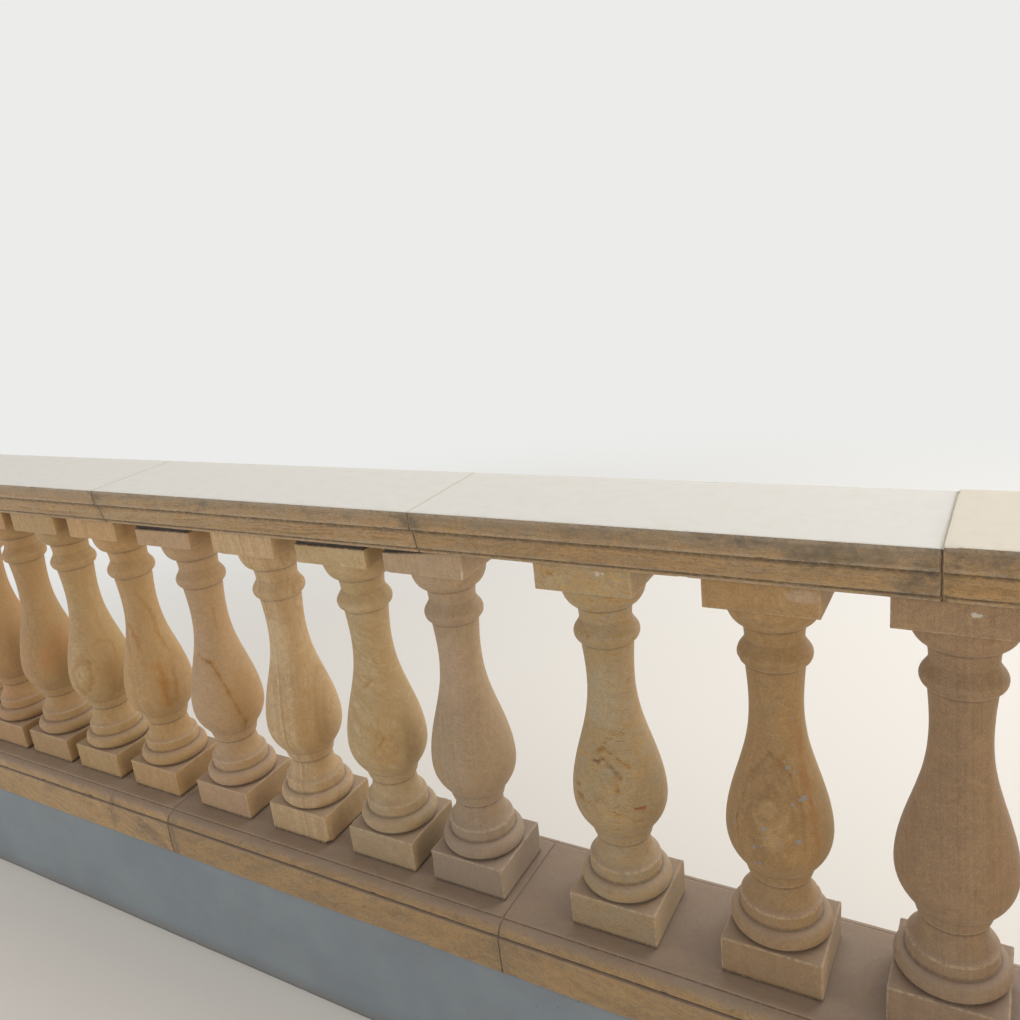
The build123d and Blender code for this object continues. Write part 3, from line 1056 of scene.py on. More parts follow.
# Looks of the fifteen balusters, from the left end of the run to the right.
# A spot is its centre, size, colour and share; a whorl its centre, size, rings, dark and
# pale colour and share; a line its ends, width, wander, colour and share; a fleck its
# centre, size, colour and share.
BALUSTER_LOOKS = [
    dict(base=(160, 128, 88), across=(0.2, 0.1, 1.0)),
    dict(base=(172, 132, 88), cloud=(168, 116, 72), cloud_share=0.6, across=(0.7, -0.7, 0.2),
         fine_share=0.12),
    # Rust clouds on an orange ground
    dict(base=(166, 134, 92), cloud=(160, 116, 74), cloud_share=0.5, across=(0.8, -0.5, 0.1),
         fine_share=0.12, wisp=(164, 106, 58), wisp_share=0.4, wisp_size=0.05,
         spots=(((-1.1656, -0.048, 0.654), (0.03, 0.03, 0.05), (176, 114, 62), 0.45),
                ((-1.1585, -0.012, 0.690), (0.02, 0.03, 0.06), (168, 106, 56), 0.45))),
    # Yellow, with a small oval on the left of its belly
    dict(base=(173, 146, 106), band=(152, 120, 74), band_share=0.6, fine=(182, 156, 118),
         fine_share=0.35, cloud=(172, 136, 82), cloud_share=0.45, across=(0.4, -0.9, 0.05),
         spacing=0.009, wander=0.012, wander_size=0.09, vein_share=0.35, vein=(140, 106, 56),
         head=1.0, film=(124, 104, 74),
         spots=(((-0.957, -0.005, 0.635), (0.03, 0.05, 0.07), (156, 114, 60), 0.4),),
         whorls=(((-1.014, -0.075, 0.650), (0.040, 0.07, 0.068), 1.5,
                  (148, 112, 60), (190, 168, 128), 0.3),),
         lines=chain(((-1.0016, -0.0601, 0.6993), (-0.9851, -0.0571, 0.6762),
                      (-0.9834, -0.063, 0.6445), (-0.9961, -0.0706, 0.611),
                      (-1.0119, -0.0741, 0.6018), (-1.0347, -0.0784, 0.6137)),
                     0.010, 0.005, (148, 110, 56), 0.6)
         + chain(((-0.9754, -0.0229, 0.7252), (-0.9657, 0.0036, 0.7086),
                      (-0.9601, -0.0147, 0.5876)), 0.009, 0.006, (156, 108, 52), 0.7)),
    # Orange ochre, with rust bands down the right of its belly
    dict(base=(178, 146, 104), band=(162, 124, 78), band_share=0.6, fine=(184, 156, 116),
         fine_share=0.3, cloud=(164, 122, 74), across=(1.0, 0.3, 0.05), spacing=0.018,
         wander=0.018, wander_size=0.13, vein_share=0.3,
         film=(124, 104, 74),
         spots=(((-0.838, -0.060, 0.66), (0.03, 0.04, 0.09), (172, 136, 82), 0.4),),
         lines=chain(RUST_LEFT, 0.026, 0.006, (172, 120, 54), 0.9)
         + chain(RUST_LEFT, 0.010, 0.005, (148, 90, 36), 0.85)
         + chain(RUST_RIGHT, 0.010, 0.006, (152, 96, 40), 0.85)
         + chain(((-0.8231, -0.0421, 0.7943), (-0.7985, -0.0462, 0.7517), (-0.788, -0.048, 0.70)),
                 0.010, 0.006, (158, 110, 52), 0.7)
         + chain(((-0.79, -0.030, 0.87), (-0.7818, -0.0079, 0.8218), (-0.7724, -0.0065, 0.7619),
                  (-0.757, -0.001, 0.72)), 0.008, 0.006, (146, 100, 46), 0.75)),
    # Pink buff, with a brown vein slanting down its belly and ochre beyond it
    dict(base=(172, 143, 112), band=(166, 134, 104), band_share=0.35, cloud=(166, 134, 104),
         cloud_share=0.4, fine=(174, 148, 118), fine_share=0.15, wisp_share=0.1,
         vein_share=0.1, across=(0.6, 0.2, 1.0),
         spots=(((-0.520, -0.010, 0.66), (0.020, 0.05, 0.12), (176, 132, 80), 0.45),),
         head=1.04, lines=chain(SLANT, 0.014, 0.003, (164, 118, 62), 0.65)
         + chain(SLANT, 0.005, 0.003, (126, 86, 42), 0.78)
         + (((-0.560, -0.019, 0.86), (-0.5596, -0.0192, 0.81), 0.006, 0.003, (140, 98, 56), 0.6),
            ((-0.60, -0.08, 0.430), (-0.560, -0.08, 0.395), 0.004, 0.003, (136, 100, 62), 0.6))),
    # Cream, with pale upright stripes and an ochre right side
    dict(base=(189, 163, 127), band=(162, 130, 90), band_share=0.75, fine=(200, 178, 146),
         fine_share=0.4, cloud=(174, 137, 88), cloud_share=0.3, across=(1.0, 0.25, 0.04),
         spacing=0.016, wander=0.009, wander_size=0.15, vein_share=0.3, wisp_share=0.1,
         spots=(((-0.318, -0.030, 0.62), (0.035, 0.05, 0.12), (164, 126, 74), 0.4),
                ((-0.371, -0.040, 0.81), (0.05, 0.05, 0.07), (200, 176, 140), 0.4))),
    # Yellow olive, pink grey on the left, with swirls on the right of its belly
    dict(base=(182, 162, 128), band=(160, 138, 96), cloud=(160, 138, 92), cloud_share=0.6,
         film_share=0.4,
         wisp=(164, 126, 66), wisp_share=0.55, across=(0.5, 0.2, 1.0), wisp_size=0.05,
         wander=0.04, vein_share=0.2, vein=(156, 114, 58), stretch=1.4,
         spots=(((-0.118, -0.066, 0.640), (0.030, 0.03, 0.045), (158, 118, 60), 0.45),),
         whorls=(((-0.106, -0.060, 0.642), (0.024, 0.04, 0.036), 1.6,
                  (144, 106, 54), (180, 154, 112), 0.3),),
         lines=chain(((-0.1252, -0.0718, 0.605), (-0.1109, -0.0657, 0.6421),
                      (-0.0999, -0.0546, 0.6554)), 0.004, 0.004, (142, 102, 52), 0.65)
         + chain(((-0.1380, -0.0740, 0.610), (-0.1288, -0.0746, 0.6391),
                  (-0.1100, -0.0640, 0.660)), 0.004, 0.004, (146, 106, 54), 0.55)
         + chain(((-0.1345, -0.0422, 0.7713), (-0.1500, -0.0500, 0.757),
                  (-0.1680, -0.0500, 0.740)), 0.006, 0.004, (156, 114, 58), 0.6),
         flecks=(((-0.1216, -0.0724, 0.6218), 0.003, BLUE_GREY, 0.7),
                 ((-0.1117, -0.0671, 0.6318), 0.002, BLUE_GREY, 0.6))),
    # Pinkish, with faint upright stripes and a yellow vein on the left
    dict(base=(153, 133, 109), band=(141, 119, 94), band_share=0.45, fine=(164, 144, 120),
         fine_share=0.25, sheltered_share=0.15, cloud=(153, 125, 99), cloud_share=0.3,
         across=(1.0, 0.2, 0.05), head=1.2,
         spacing=0.010, wander=0.006, wander_size=0.22, vein_share=0.1, wisp_share=0.05,
         blush=(168, 132, 86), blush_share=0.15, film_share=0.65, tooling=0.0003,
         spots=(((0.046, -0.040, 0.82), (0.05, 0.05, 0.08), (174, 148, 122), 0.5),),
         lines=(((-0.016, -0.045, 0.690), (0.020, -0.074, 0.600), 0.008, 0.004, (166, 126, 66), 0.7),
                ((0.020, -0.074, 0.600), (0.030, -0.060, 0.500), 0.006, 0.002, (166, 128, 72), 0.5),
                ((0.022, -0.058, 0.495), (0.028, -0.082, 0.376), 0.005, 0.002, (166, 128, 68), 0.7)),
         flecks=tuple(((0.1225 + 0.0006 * i, -0.080, 1.022 + 0.0028 * i), 0.0026, WHITE_PLASTER, 0.8)
                      for i in range(8))),
    # Grey cream, with short ochre wisps and a brown scribble across its belly
    dict(base=(150, 138, 114), band=(148, 130, 96), band_share=0.4, sheltered_share=0.15,
         cloud=(164, 134, 82), cloud_share=0.65, wisp=(134, 94, 36), wisp_share=0.95,
         wisp_size=0.024, stretch=2.5, fine_share=0.05, across=(0.2, 0.1, 1.0), spacing=0.010,
         wander=0.025, wander_size=0.07, vein=(148, 110, 52), vein_width=0.035, vein_share=0.55,
         film_share=0.35, streak=(142, 110, 62), streak_share=0.45, head=1.16,
         lines=chain(((0.319, -0.0607, 0.7115), (0.3267, -0.0621, 0.7123),
                      (0.3406, -0.0607, 0.7184), (0.3508, -0.063, 0.7053),
                      (0.3663, -0.0618, 0.6894)), 0.0062, 0.006, (108, 72, 28), 0.95)
         + chain(((0.3223, -0.0573, 0.7253), (0.3365, -0.0563, 0.7335),
                  (0.3499, -0.0564, 0.7273), (0.3765, -0.050, 0.7051)),
                 0.0075, 0.006, (142, 102, 42), 0.9)
         + chain(((0.3545, -0.0673, 0.6863), (0.3624, -0.069, 0.6685)),
                 0.011, 0.006, (138, 96, 40), 0.95)
         + (((0.3858, -0.0608, 0.6349), (0.3979, -0.0485, 0.6330), 0.0042, 0.002, (128, 62, 14), 1.0),
            ((0.2962, -0.0678, 0.6412), (0.286, -0.060, 0.643), 0.008, 0.003, (138, 98, 44), 0.95),
            ((0.2831, -0.0574, 0.6568), (0.292, -0.062, 0.659), 0.007, 0.003, (142, 102, 46), 0.95),
            ((0.3150, -0.0740, 0.620), (0.3350, -0.0780, 0.624), 0.005, 0.004, (140, 104, 50), 0.7),
            ((0.3400, -0.0740, 0.590), (0.3640, -0.0700, 0.595), 0.005, 0.004, (142, 106, 52), 0.6),
            ((0.3542, -0.0377, 0.8971), (0.3693, -0.025, 0.8967), 0.005, 0.003, (166, 120, 54), 0.8)),
         spots=(((0.392, -0.020, 0.620), (0.03, 0.05, 0.10), (126, 106, 78), 0.4),
                ((0.336, -0.040, 0.820), (0.05, 0.05, 0.07), (166, 152, 126), 0.4)),
         flecks=(((0.363, -0.080, 1.0535), 0.005, WHITE_PLASTER, 0.8),
                 ((0.371, -0.080, 1.0545), 0.003, WHITE_PLASTER, 0.7))),
    # Golden ochre: its beds face the viewer, so they show as ovals on the belly
    dict(base=(138, 110, 71), band=(118, 88, 53), band_share=0.5, sheltered_share=0.2,
         fine=(157, 127, 88), fine_share=0.3, streak_share=0.12,
         head=1.2, whorls=((OVAL, (0.036, 0.06, 0.070), 2.0, (126, 92, 52), (166, 136, 94), 0.32),
                           ((0.599, -0.062, 0.675), (0.058, 0.09, 0.105), 1.4,
                            (122, 88, 48), (164, 134, 90), 0.3)),
         cloud=(146, 106, 56), cloud_share=0.4, wisp=(168, 136, 92),
         wisp_share=0.3, stretch=0.8, across=(0.24, -0.96, 0.06), spacing=0.011,
         wander=0.008, wander_size=0.09, film_share=0.35, vein=(120, 80, 42), vein_share=0.3,
         lines=chain(EGG, 0.006, 0.005, (122, 86, 46), 0.55)
         + chain(((0.6342, -0.0146, 0.8233), (0.6408, -0.0318, 0.7424),
                      (0.6524, -0.0362, 0.7018), (0.660, -0.040, 0.640)),
                     0.013, 0.006, (140, 86, 44), 0.7)
         + chain(((0.6262, -0.0318, 0.7898), (0.600, -0.055, 0.750), (0.580, -0.065, 0.720)),
                 0.008, 0.005, (136, 96, 50), 0.5),
         spots=(((0.655, -0.080, 1.050), (0.028, 0.01, 0.012), (166, 146, 124), 0.45),),
         flecks=tuple((centre, size, BLUE_GREY, 0.75) for centre, size in (
             ((0.627, -0.0258, 0.8315), 0.0025), ((0.6212, -0.0438, 0.7571), 0.0035),
             ((0.6302, -0.0404, 0.7487), 0.0025), ((0.6482, -0.0199, 0.7400), 0.003),
             ((0.6441, -0.0427, 0.7108), 0.0055), ((0.6380, -0.0465, 0.7085), 0.004),
             ((0.6313, -0.0556, 0.7041), 0.003), ((0.5459, -0.0572, 0.6520), 0.003),
             ((0.5936, -0.0747, 0.6650), 0.004), ((0.5982, -0.0770, 0.6521), 0.0025),
             ((0.5787, -0.0769, 0.6303), 0.0035), ((0.5894, -0.0784, 0.6364), 0.0025),
             ((0.6407, -0.0644, 0.6485), 0.0045), ((0.6176, -0.0749, 0.6475), 0.0022),
             ((0.5865, -0.0759, 0.6032), 0.0025), ((0.5800, -0.0740, 0.6000), 0.003)))),
    # Pink tan, striped upright
    dict(base=(133, 106, 77), band=(112, 85, 61), band_share=0.6, fine=(152, 125, 97),
         fine_share=0.3, head=1.16, film_share=0.35, cloud=(142, 112, 84), cloud_share=0.3,
         across=(1.0, 0.15, 0.04), blush=(148, 112, 74), blush_share=0.15,
         sheltered_share=0.1, spacing=0.013, wander=0.006, wander_size=0.2,
         vein=(112, 82, 56), vein_share=0.2, wisp_share=0.0, streak_share=0.08,
         flecks=(((0.8523, -0.080, 1.0484), 0.0045, WHITE_PLASTER, 0.85),
                 ((0.8580, -0.080, 1.0480), 0.0035, WHITE_PLASTER, 0.7))),
    dict(base=(158, 130, 94), across=(0.2, 0.1, 1.0)),
    dict(base=(162, 136, 102), across=(-0.2, -1.0, 0.2), spacing=0.009, wander=0.01),
    dict(base=(158, 128, 92), across=(1.0, 0.2, 0.1), spacing=0.012, wander=0.008),
]
# Where a corner is broken off, and the reach of the break
LOST_CORNERS = {"baluster_07": ((0.0775, -0.0775, 0.0), 0.010)}
# How far a head stands under the coping at its left and at its right
BED_GAPS = {
    "baluster_06": (0.012, 0.010), "baluster_08": (0.011, 0.010), "baluster_09": (0.010, 0.0),
}
# On the coping the pale ledge colour is bleached stone and partly a painted sky reflection
COPING = dict(
    band_share=0.6, cloud=(180, 138, 80), cloud_share=0.5, fine_share=0.15, wisp_share=0.4,
    wisp=(178, 136, 80), streak=(84, 64, 42), streak_share=0.5, vein_share=0.55,
    vein_width=0.035,
    spacing=0.013, wander=0.014, wander_size=0.2, wisp_size=0.035, vein=(104, 78, 50),
    stretch=3.0, film=(126, 117, 103), film_share=0.45, film_start=1.108, film_full=1.140,
    film_ragged=0.06, sheltered_share=0.0, ledge=(213, 210, 203), ledge_share=0.95,
    ledge_roughness=0.42, ledge_patch=0.92, worn=(176, 164, 146), worn_share=0.35, soot_share=0.66,
    soot_level=0.56, soot_size=0.045, soot=(62, 57, 50), grime=(66, 54, 42),
    grime_share=0.8, clump=0.07, blush_share=0.3, head=1.0,
)
COPING_LOOKS = [
    dict(COPING, base=(172, 146, 114), band=(150, 120, 84), across=(0.02, 0.1, 1.0), seed=0.3),
    dict(COPING, base=(170, 146, 114), band=(150, 122, 88), across=(-0.03, 0.15, 1.0), seed=1.7,
         lines=(((-0.040, -0.112, 1.118), (0.053, -0.112, 1.119), 0.006, 0.004, (170, 130, 62), 0.6),
                ((0.020, -0.112, 1.136), (0.053, -0.112, 1.128), 0.004, 0.004, (70, 60, 48), 0.6))),
    dict(COPING, base=(152, 130, 100), band=(134, 106, 72), across=(0.03, -0.1, 1.0), seed=2.9,
         lines=(((0.806, -0.112, 1.140), (0.782, -0.098, 1.080), 0.034, 0.02, (66, 62, 56), 0.7),
                ((0.056, -0.112, 1.118), (0.150, -0.112, 1.117), 0.006, 0.004, (170, 130, 62), 0.6),
                ((0.740, -0.112, 1.125), (0.650, -0.112, 1.122), 0.030, 0.012, (84, 74, 58), 0.7))),
    dict(COPING, base=(158, 128, 88), band=(136, 102, 62), across=(0.02, 0.1, 1.0), seed=4.1,
         ledge=(208, 199, 182), film_share=0.35),
]
# On the rail the ledge colour is a painted shade: its top darker and purple grey, as in the shade of
# the balusters
RAIL = dict(
    base=(170, 143, 106), band=(136, 106, 71), band_share=0.65, cloud=(172, 136, 84),
    cloud_share=0.45, fine=(122, 94, 62), fine_share=0.3, wisp_share=0.4,
    streak=(112, 86, 58), streak_share=0.35, vein_share=0.5, spacing=0.013, wander=0.045,
    wander_size=0.11, wisp_size=0.04, vein=(104, 78, 52), vein_width=0.03,
    ledge=(134, 117, 105), ledge_share=0.75, ledge_roughness=0.7, soot_share=0.5,
    soot_level=0.58, soot_size=0.05, soot=(84, 76, 68), grime_share=0.85, film_share=0.0,
    worn=(150, 130, 104), worn_share=0.2, sheltered_share=0.0, stretch=2.0, clump=0.07,
    blush_share=0.3,
)
RAIL_LOOKS = [
    dict(RAIL, across=(0.35, 0.1, 1.0), seed=0.9, base=(180, 151, 112), lines=(
        ((-0.926, -0.133, 0.365), (-0.929, -0.140, 0.300), 0.030, 0.012, (98, 84, 70), 0.6),
        ((-0.833, -0.140, 0.325), (-0.760, -0.140, 0.280), 0.040, 0.014, (96, 84, 72), 0.6))),
    dict(RAIL, across=(-0.25, 0.12, 1.0), seed=2.3, base=(138, 118, 90), lines=(
        ((-0.715, -0.140, 0.350), (-0.712, -0.140, 0.280), 0.022, 0.010, (92, 80, 68), 0.6),)),
    dict(RAIL, across=(0.2, -0.1, 1.0), seed=3.1, base=(138, 120, 93)),
    dict(RAIL, across=(0.3, 0.1, 1.0), seed=4.7),
]


def painted_plaster():
    """Blue-grey masonry paint, matt, with specks of dirt and a hair crack."""
    material, tree, shader = bare_material("painted_plaster")
    place = object_place(tree)
    grain = use(sandstone_grain(), place=place, grain_size=0.0027)
    weather = use(weathering(), place=place, arris=attribute(tree, "arris"),
                  nook=attribute(tree, "nook"), soot_size=0.12, soot_level=0.56)
    dots = put(tree, "ShaderNodeTexVoronoi", {"Vector": place, "Scale": 70.0})
    some = dots["Color"].parts()[0].ramp(0.86, 0.9)
    crack = use(drawn_vein(), place=place, start=(-1.37, -0.136, 0.16),
                end=(-1.46, -0.136, 0.0), width=0.0012, wander=0.012)
    cloud = place.noise(5.0, 4.0, 0.6).ramp(0.3, 0.7)
    paint = mix(cloud, tint((120, 128, 134)), tint((128, 136, 141)))
    for mask, share, shade in (
        (dots["Distance"].ramp(0.16, 0.1) * some, 0.6, (84, 84, 82)),
        (weather["soot"], 0.18, (108, 104, 98)),
        (place.parts()[2].ramp(0.05, 0.0), 0.45, (112, 102, 90)),
        (crack["line"], 0.8, (60, 60, 60)),
    ):
        paint = mix(mask * share, paint, tint(shade))
    trowel = (place * (1.0, 1.0, 1.6)).noise(14.0, 3.0, 0.5)
    relief = bump(grain["height"], 0.4 * MM, 0.6, bump(trowel, 1.2 * MM, 0.5))
    dress(shader, base_color=paint, roughness=0.75, normal=relief)
    return material


def mortar(name, top, front, joints=()):
    """Weathered mortar; a joint shows as a dark hair crack down its middle.

    Each joint is its place along the run and how dark its crack is.
    """
    material, tree, shader = bare_material(name)
    place = object_place(tree)
    grain = use(sandstone_grain(), place=place, grain_size=0.0030)
    up = facing(tree)[2]
    paint = mix(grain["mottle"], tint([value * 0.8 for value in front]), tint(front))
    # Upward faces take the top colour, which follows the top of the stone beside it and its painted
    # light
    paint = mix(up.ramp(0.3, 0.9), paint, tint(top))
    across = place.parts()[0] + (place.noise(120.0, 3.0, 0.6) - 0.5) * 0.003
    for joint, depth in joints:
        crack = abs(across - joint).ramp(1.0 * MM, 0.3 * MM)
        paint = mix(crack * up.ramp(0.3, 0.9, depth, 0.4 * depth), paint, tint((60, 38, 26)))
    relief = bump(grain["height"], 0.8 * MM, 0.8)
    dress(shader, base_color=paint, roughness=0.95, normal=relief)
    return material


# Operators

# How many points go round each section
COPING_POINTS, RAIL_POINTS, WALL_POINTS, MORTAR_POINTS = 80, 84, 72, 60
# How much farther apart the rings of points stand on the rail and the wall
RAIL_SPREAD, WALL_SPREAD = 1.4, 2.5
# The rings of points next to the end of a stone, as distances from it
END_RINGS = (0.0, 0.6 * MM, 1.5 * MM, 2.8 * MM, 5.0 * MM)
# Half the gap between two stones of a course, and half the mortar, which reaches into them
HALF_GAP = 1.5 * MM
HALF_MORTAR = 5.5 * MM
# Thickness of a bed over a low head, how far it stands back from the head's edge, and how
# far it runs past the middle of a head where it closes to the right
BED_THICKNESS, BED_SETBACK, BED_REACH = 12 * MM, 3 * MM, 30 * MM
# Rings of points along the mortar of a joint and of a bed
JOINT_RINGS, BED_RINGS = 8, 24
# The share of a stone's section that the mortar of a joint fills, and its rise
JOINT_DEPTH, JOINT_HEIGHT, JOINT_RISE = 0.996, 0.993, 0.3 * MM


def run_course(name, section, count, stations, crowd=1.0, **values):
    """Carries a section through the stations with the course's tree."""
    points, arris, nook = worn_outline(section, True, count, crowd=crowd)
    piece = outline_object(name, points, arris, nook, stations)
    return run_tree(piece, moulded_course(), section_points=count, stations=len(stations),
                    **values)


def make_course(node, section, count, spacing, slot, **values):
    """One stone of a course, from its CAD node's own box."""
    low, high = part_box(node)
    reach = END_RINGS[-1]
    steps = max(int((high.x - low.x - 2 * reach) / spacing), 4)
    middle = np.linspace(low.x + reach, high.x - reach, steps)[1:-1]
    stations = [low.x + ring for ring in END_RINGS] + list(middle)
    stations += [high.x - ring for ring in reversed(END_RINGS)]
    piece = run_course(f"{node}_stone", section, count, stations, bottom=low.z, **values)
    stand_for(piece, node)


def make_mortar(name, section, start, end, rings, slot, **values):
    """A fill of mortar from start to end."""
    piece = run_course(name, section, MORTAR_POINTS, list(np.linspace(start, end, rings)),
                       wear_size=0.02, **values)
    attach(piece, BODY)


class BALUSTRADE_OT_balusters(Operator):
    """Make the fifteen turned balusters, each from a stone of its own"""
    bl_idname = "balustrade.balusters"
    bl_label = "Balusters"

    def execute(self, context):
        size = context.scene.balustrade.baluster
        sizes = {key: getattr(size, key) for key in (
            "rows", "segments", "plinth_width", "plinth_height", "abacus_width",
            "abacus_height", "arris_round")}
        corners, head_level = turned_outline(size)
        for number, node in enumerate(BALUSTERS):
            low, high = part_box(node)
            points, arris, nook = worn_outline(corners, False, size.rows, wear=2.2 * MM)
            piece = outline_object(f"{node}_stone", points, arris, nook)
            gap = BED_GAPS.get(node, (0.0, 0.0))
            corner, corner_size = LOST_CORNERS.get(node, ((0.0, 0.0, -1.0), 0.0))
            look = dict(BALUSTER_LOOKS[number], seed=0.8 * number)
            run_tree(
                piece, turned_stone(), **sizes, abacus_level=head_level,
                contact_radius=size.drum_radius - size.drum_lower_round / 2,
                bed_gap_left=gap[0], bed_gap_right=gap[1], chip_depth=3 * MM, chip_level=0.6,
                lost_corner=corner, lost_corner_size=corner_size, seed=3.7 * (number + 1),
                place=((low.x + high.x) / 2, (low.y + high.y) / 2, low.z),
                stone=sandstone(f"sandstone_{number + 1:02d}", look))
            stand_for(piece, node)
        return {"FINISHED"}


class BALUSTRADE_OT_coping(Operator):
    """Make the moulded coping stones, weathered along their arrises"""
    bl_idname = "balustrade.coping"
    bl_label = "Coping"

    def execute(self, context):
        size = context.scene.balustrade.course
        for number, node in enumerate(COPINGS):
            make_course(
                node, coping_outline(size, *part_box(node)), COPING_POINTS, size.station,
                "coping_stone", wear_depth=0.8 * MM, chip_depth=3 * MM, chip_size=0.03,
                chip_level=0.62, seed=21.0 + 2.3 * number,
                stone=sandstone(f"coping_sandstone_{number + 1}", COPING_LOOKS[number]))
        return {"FINISHED"}


class BALUSTRADE_OT_base_rail(Operator):
    """Make the moulded base rail that the balusters stand on"""
    bl_idname = "balustrade.base_rail"
    bl_label = "Base Rail"

    def execute(self, context):
        size = context.scene.balustrade.course
        for number, node in enumerate(RAILS):
            make_course(
                node, rail_outline(size, *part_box(node)), RAIL_POINTS, size.station * RAIL_SPREAD,
                "rail_stone", wear_depth=0.8 * MM, chip_depth=3 * MM, chip_size=0.02,
                chip_level=0.6, seed=41.0 + 1.9 * number,
                stone=sandstone(f"rail_sandstone_{number + 1}", RAIL_LOOKS[number]))
        return {"FINISHED"}


class BALUSTRADE_OT_wall(Operator):
    """Make the low wall of painted plaster"""
    bl_idname = "balustrade.wall"
    bl_label = "Low Wall"

    def execute(self, context):
        size = context.scene.balustrade.course
        make_course(
            WALL, wall_outline(size, *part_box(WALL)), WALL_POINTS, size.station * WALL_SPREAD,
            "painted_plaster", crowd=0.4, wear_depth=2 * MM, wear_size=0.25, chip_depth=1 * MM,
            chip_size=0.03, chip_level=0.6, seed=61.0, stone=painted_plaster())
        return {"FINISHED"}


class BALUSTRADE_OT_mortar(Operator):
    """Fill the joints of the coping and the rail, and the open beds over some heads"""
    bl_idname = "balustrade.mortar"
    bl_label = "Mortar"

    def execute(self, context):
        size = context.scene.balustrade.course
        for stones, outline, slot, top, front, cracks in (
            (COPINGS, coping_outline, "coping_stone", (208, 200, 186), (134, 111, 82),
             (0.4, 0.4, 0.95)),
            (RAILS, rail_outline, "rail_stone", (130, 112, 100), (134, 112, 84),
             (0.9, 0.9, 0.9)),
        ):
            joints = [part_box(stone)[1].x + HALF_GAP for stone in stones[:-1]]
            material = mortar(f"{slot}_mortar", top, front, list(zip(joints, cracks)))
            for stone, joint in zip(stones, joints):
                low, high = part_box(stone)
                section = [(y * JOINT_DEPTH, JOINT_RISE + z * JOINT_HEIGHT)
                           for y, z in outline(size, low, high)]
                make_mortar(
                    f"{stone}_joint", section, joint - HALF_MORTAR, joint + HALF_MORTAR,
                    JOINT_RINGS, slot, wear_depth=0.6 * MM, chip_depth=0.5 * MM, seed=77.0,
                    bottom=low.z, stone=material)
        # The bed mortar is dark, partly a painted shade for an open joint over a low head
        material = mortar("bed_mortar", (96, 84, 76), (78, 70, 66))
        for node, gap in BED_GAPS.items():
            low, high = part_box(node)
            half = (high.y - low.y) / 2 - BED_SETBACK
            section = [(half, -BED_THICKNESS), (half, 0.0), (-half, 0.0), (-half, -BED_THICKNESS)]
            end = high.x - BED_SETBACK if gap[1] else (low.x + high.x) / 2 + BED_REACH
            make_mortar(
                f"{node}_bed", section, low.x + BED_SETBACK, end, BED_RINGS, "baluster_stone",
                wear_depth=2 * MM, chip_depth=1 * MM, seed=83.0, bottom=high.z, stone=material)
        return {"FINISHED"}


BACKGROUND = (236, 236, 234)
# The floor starts to pale at the first distance and is the background's colour at the second
FLOOR_FADE_START, FLOOR_FADE_FULL = 1.6, 5.0
# Each lamp's name, place, aim, width, height and colour
LAMPS = (
    ("key", (1.0, 1.6, 4.4), (0.0, 0.0, 0.5), 4.0, 4.0, (255, 255, 255)),
    ("fill", (0.5, -5.0, 2.4), (0.0, 0.0, 0.6), 4.0, 4.0, (255, 255, 255)),
    ("back", (3.4, 5.2, 2.2), (0.0, 0.0, 0.7), 4.0, 2.4, (255, 251, 244)),
    ("left", (-5.2, -2.6, 1.5), (0.0, 0.0, 0.6), 3.0, 2.4, (255, 255, 255)),
    ("side", (5.5, -0.8, 1.6), (0.5, 0.0, 0.6), 3.0, 3.0, (255, 243, 226)),
)
# The camera stands, looks and frames as the photograph's did; angles in radians
CAMERA_PLACE = (0.90603, -1.26962, 1.59050)
CAMERA_YAW, CAMERA_PITCH, CAMERA_ROLL = -0.5998, 0.3005, -0.1367
CAMERA_LENS, CAMERA_SENSOR = 32.913, 36.0
CAMERA_SHIFT = (0.0721, -0.0029)


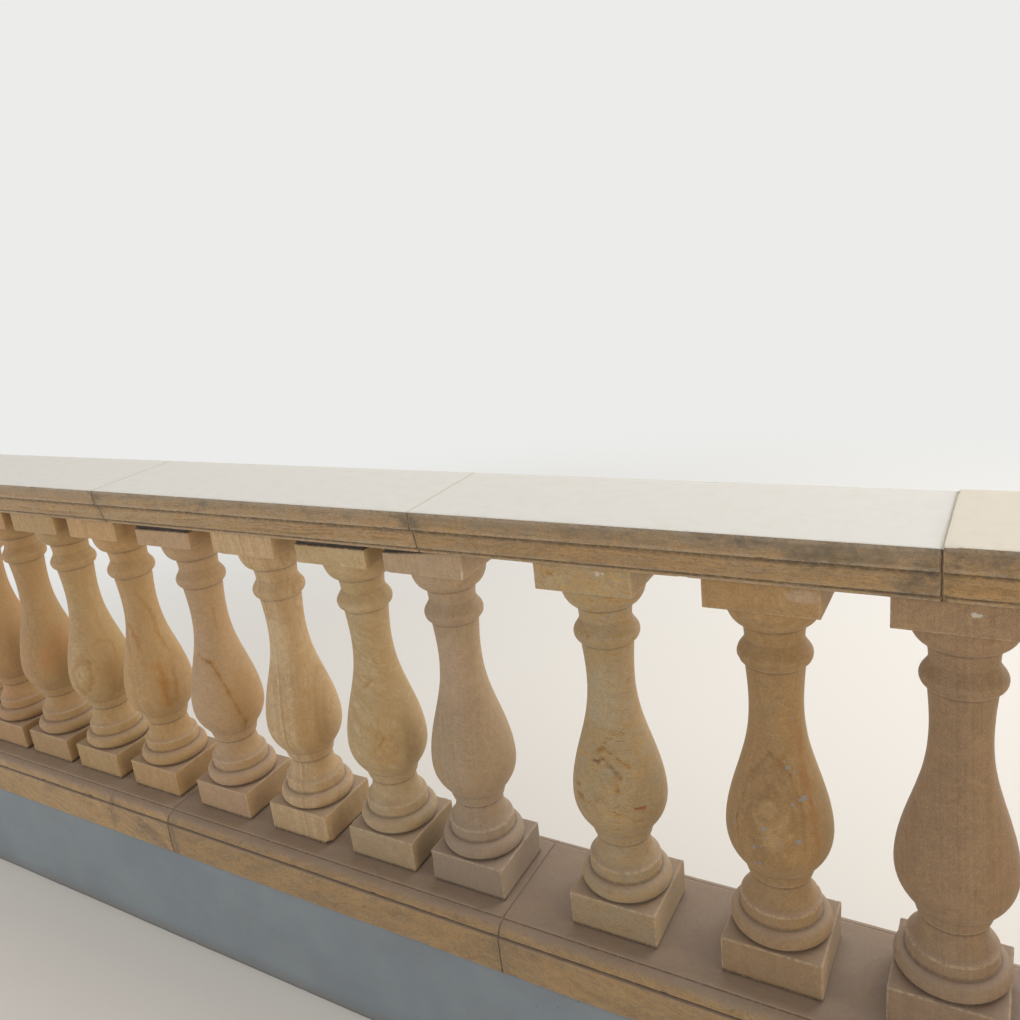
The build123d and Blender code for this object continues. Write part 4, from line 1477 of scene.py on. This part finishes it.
class BALUSTRADE_OT_stage(Operator):
    """Make the floor, the lamps and the camera"""
    bl_idname = "balustrade.stage"
    bl_label = "Stage"

    def execute(self, context):
        stage = context.scene.balustrade.stage
        self.make_floor(context, stage)
        self.make_lamps(context, stage)
        self.make_camera(context)
        context.scene.view_settings.view_transform = "Standard"
        return {"FINISHED"}

    def make_floor(self, context, stage):
        half = stage.floor_size / 2
        mesh = bpy.data.meshes.new("floor")
        mesh.from_pydata([(-half, -half, 0), (half, -half, 0), (half, half, 0), (-half, half, 0)],
                         [], [(0, 1, 2, 3)])
        floor = bpy.data.objects.new("floor", mesh)
        context.scene.collection.objects.link(floor)
        material, tree, shader = bare_material("plain_floor")
        dress(shader, base_color=(*stage.floor_colour, 1.0), roughness=0.9)
        # Far off the floor turns into the pale background, as seen by the camera
        far = object_place(tree).size().ramp(FLOOR_FADE_START, FLOOR_FADE_FULL)
        seen = far * put(tree, "ShaderNodeLightPath")["Is Camera Ray"]
        pale = put(tree, "ShaderNodeEmission", {"Color": tint(BACKGROUND), "Strength": 1.0})[0]
        blend = put(tree, "ShaderNodeMixShader",
                    {0: seen, 1: Wire(tree, shader.outputs[0]), 2: pale})[0]
        output = next(node for node in tree.nodes if node.bl_idname == "ShaderNodeOutputMaterial")
        feed(output.inputs[0], blend)
        mesh.materials.append(material)

    def make_lamps(self, context, stage):
        world = bpy.data.worlds.new("studio")
        context.scene.world = world
        world.use_nodes = True
        tree = world.node_tree
        tree.nodes.clear()
        ray = put(tree, "ShaderNodeLightPath")
        seen = most(ray["Is Camera Ray"], ray["Is Glossy Ray"], ray["Is Transmission Ray"])
        even = put(tree, "ShaderNodeBackground", {
            "Color": tint(BACKGROUND), "Strength": mix(seen, stage.sky, 1.0)})[0]
        feed(tree.nodes.new("ShaderNodeOutputWorld").inputs[0], even)
        for name, place, aim, wide, tall, shade in LAMPS:
            lamp = bpy.data.lights.new(name, "AREA")
            lamp.shape, lamp.size, lamp.size_y = "RECTANGLE", wide, tall
            lamp.energy = getattr(stage, name + "_power")
            lamp.color = tint(shade)[:3]
            holder = bpy.data.objects.new(name, lamp)
            holder.location = place
            holder.visible_camera = False
            aimed = Vector(aim) - Vector(place)
            holder.rotation_euler = aimed.to_track_quat("-Z", "Y").to_euler()
            context.scene.collection.objects.link(holder)

    def make_camera(self, context):
        yaw, pitch, roll = CAMERA_YAW, CAMERA_PITCH, CAMERA_ROLL
        forward = Vector((math.sin(yaw) * math.cos(pitch), math.cos(yaw) * math.cos(pitch),
                          -math.sin(pitch)))
        right = Vector((math.cos(yaw), -math.sin(yaw), 0.0))
        up = right.cross(forward)
        across = right * math.cos(roll) + up * math.sin(roll)
        upward = up * math.cos(roll) - right * math.sin(roll)
        camera = bpy.data.cameras.new("camera")
        holder = bpy.data.objects.new("camera", camera)
        rows = [(across[i], upward[i], -forward[i], CAMERA_PLACE[i]) for i in range(3)]
        holder.matrix_world = Matrix([*rows, (0, 0, 0, 1)])
        camera.sensor_width = CAMERA_SENSOR
        camera.lens = CAMERA_LENS
        camera.shift_x, camera.shift_y = CAMERA_SHIFT
        camera.clip_start, camera.clip_end = 0.05, 100.0
        context.scene.collection.objects.link(holder)
        context.scene.camera = holder


# In the order in which the main function calls them
OPERATORS = (
    BALUSTRADE_OT_stage, BALUSTRADE_OT_wall, BALUSTRADE_OT_base_rail, BALUSTRADE_OT_balusters,
    BALUSTRADE_OT_coping, BALUSTRADE_OT_mortar,
)


class BALUSTRADE_PT_panel(Panel):
    """Buttons for each group of pieces"""
    bl_label = "Stone Balustrade"
    bl_idname = "BALUSTRADE_PT_panel"
    bl_space_type = "VIEW_3D"
    bl_region_type = "UI"
    bl_category = "Balustrade"

    def draw(self, context):
        column = self.layout.column()
        for operator in OPERATORS:
            column.operator(operator.bl_idname)
        for group in ("baluster", "course", "stage"):
            settings = getattr(context.scene.balustrade, group)
            box = self.layout.box()
            for name in settings.bl_rna.properties.keys():
                if name not in ("rna_type", "name"):
                    box.prop(settings, name)


CLASSES = (
    BalusterSizes, CourseSizes, StageSizes, BalustradeSettings, *OPERATORS, BALUSTRADE_PT_panel,
)


def register():
    for each in CLASSES:
        bpy.utils.register_class(each)
    bpy.types.Scene.balustrade = PointerProperty(type=BalustradeSettings)


def unregister():
    del bpy.types.Scene.balustrade
    for each in reversed(CLASSES):
        bpy.utils.unregister_class(each)


def main():
    """Makes the whole scene."""
    register()
    bpy.ops.balustrade.stage()
    bpy.ops.balustrade.wall()
    bpy.ops.balustrade.base_rail()
    bpy.ops.balustrade.balusters()
    bpy.ops.balustrade.coping()
    bpy.ops.balustrade.mortar()


if __name__ == "__main__":
    main()
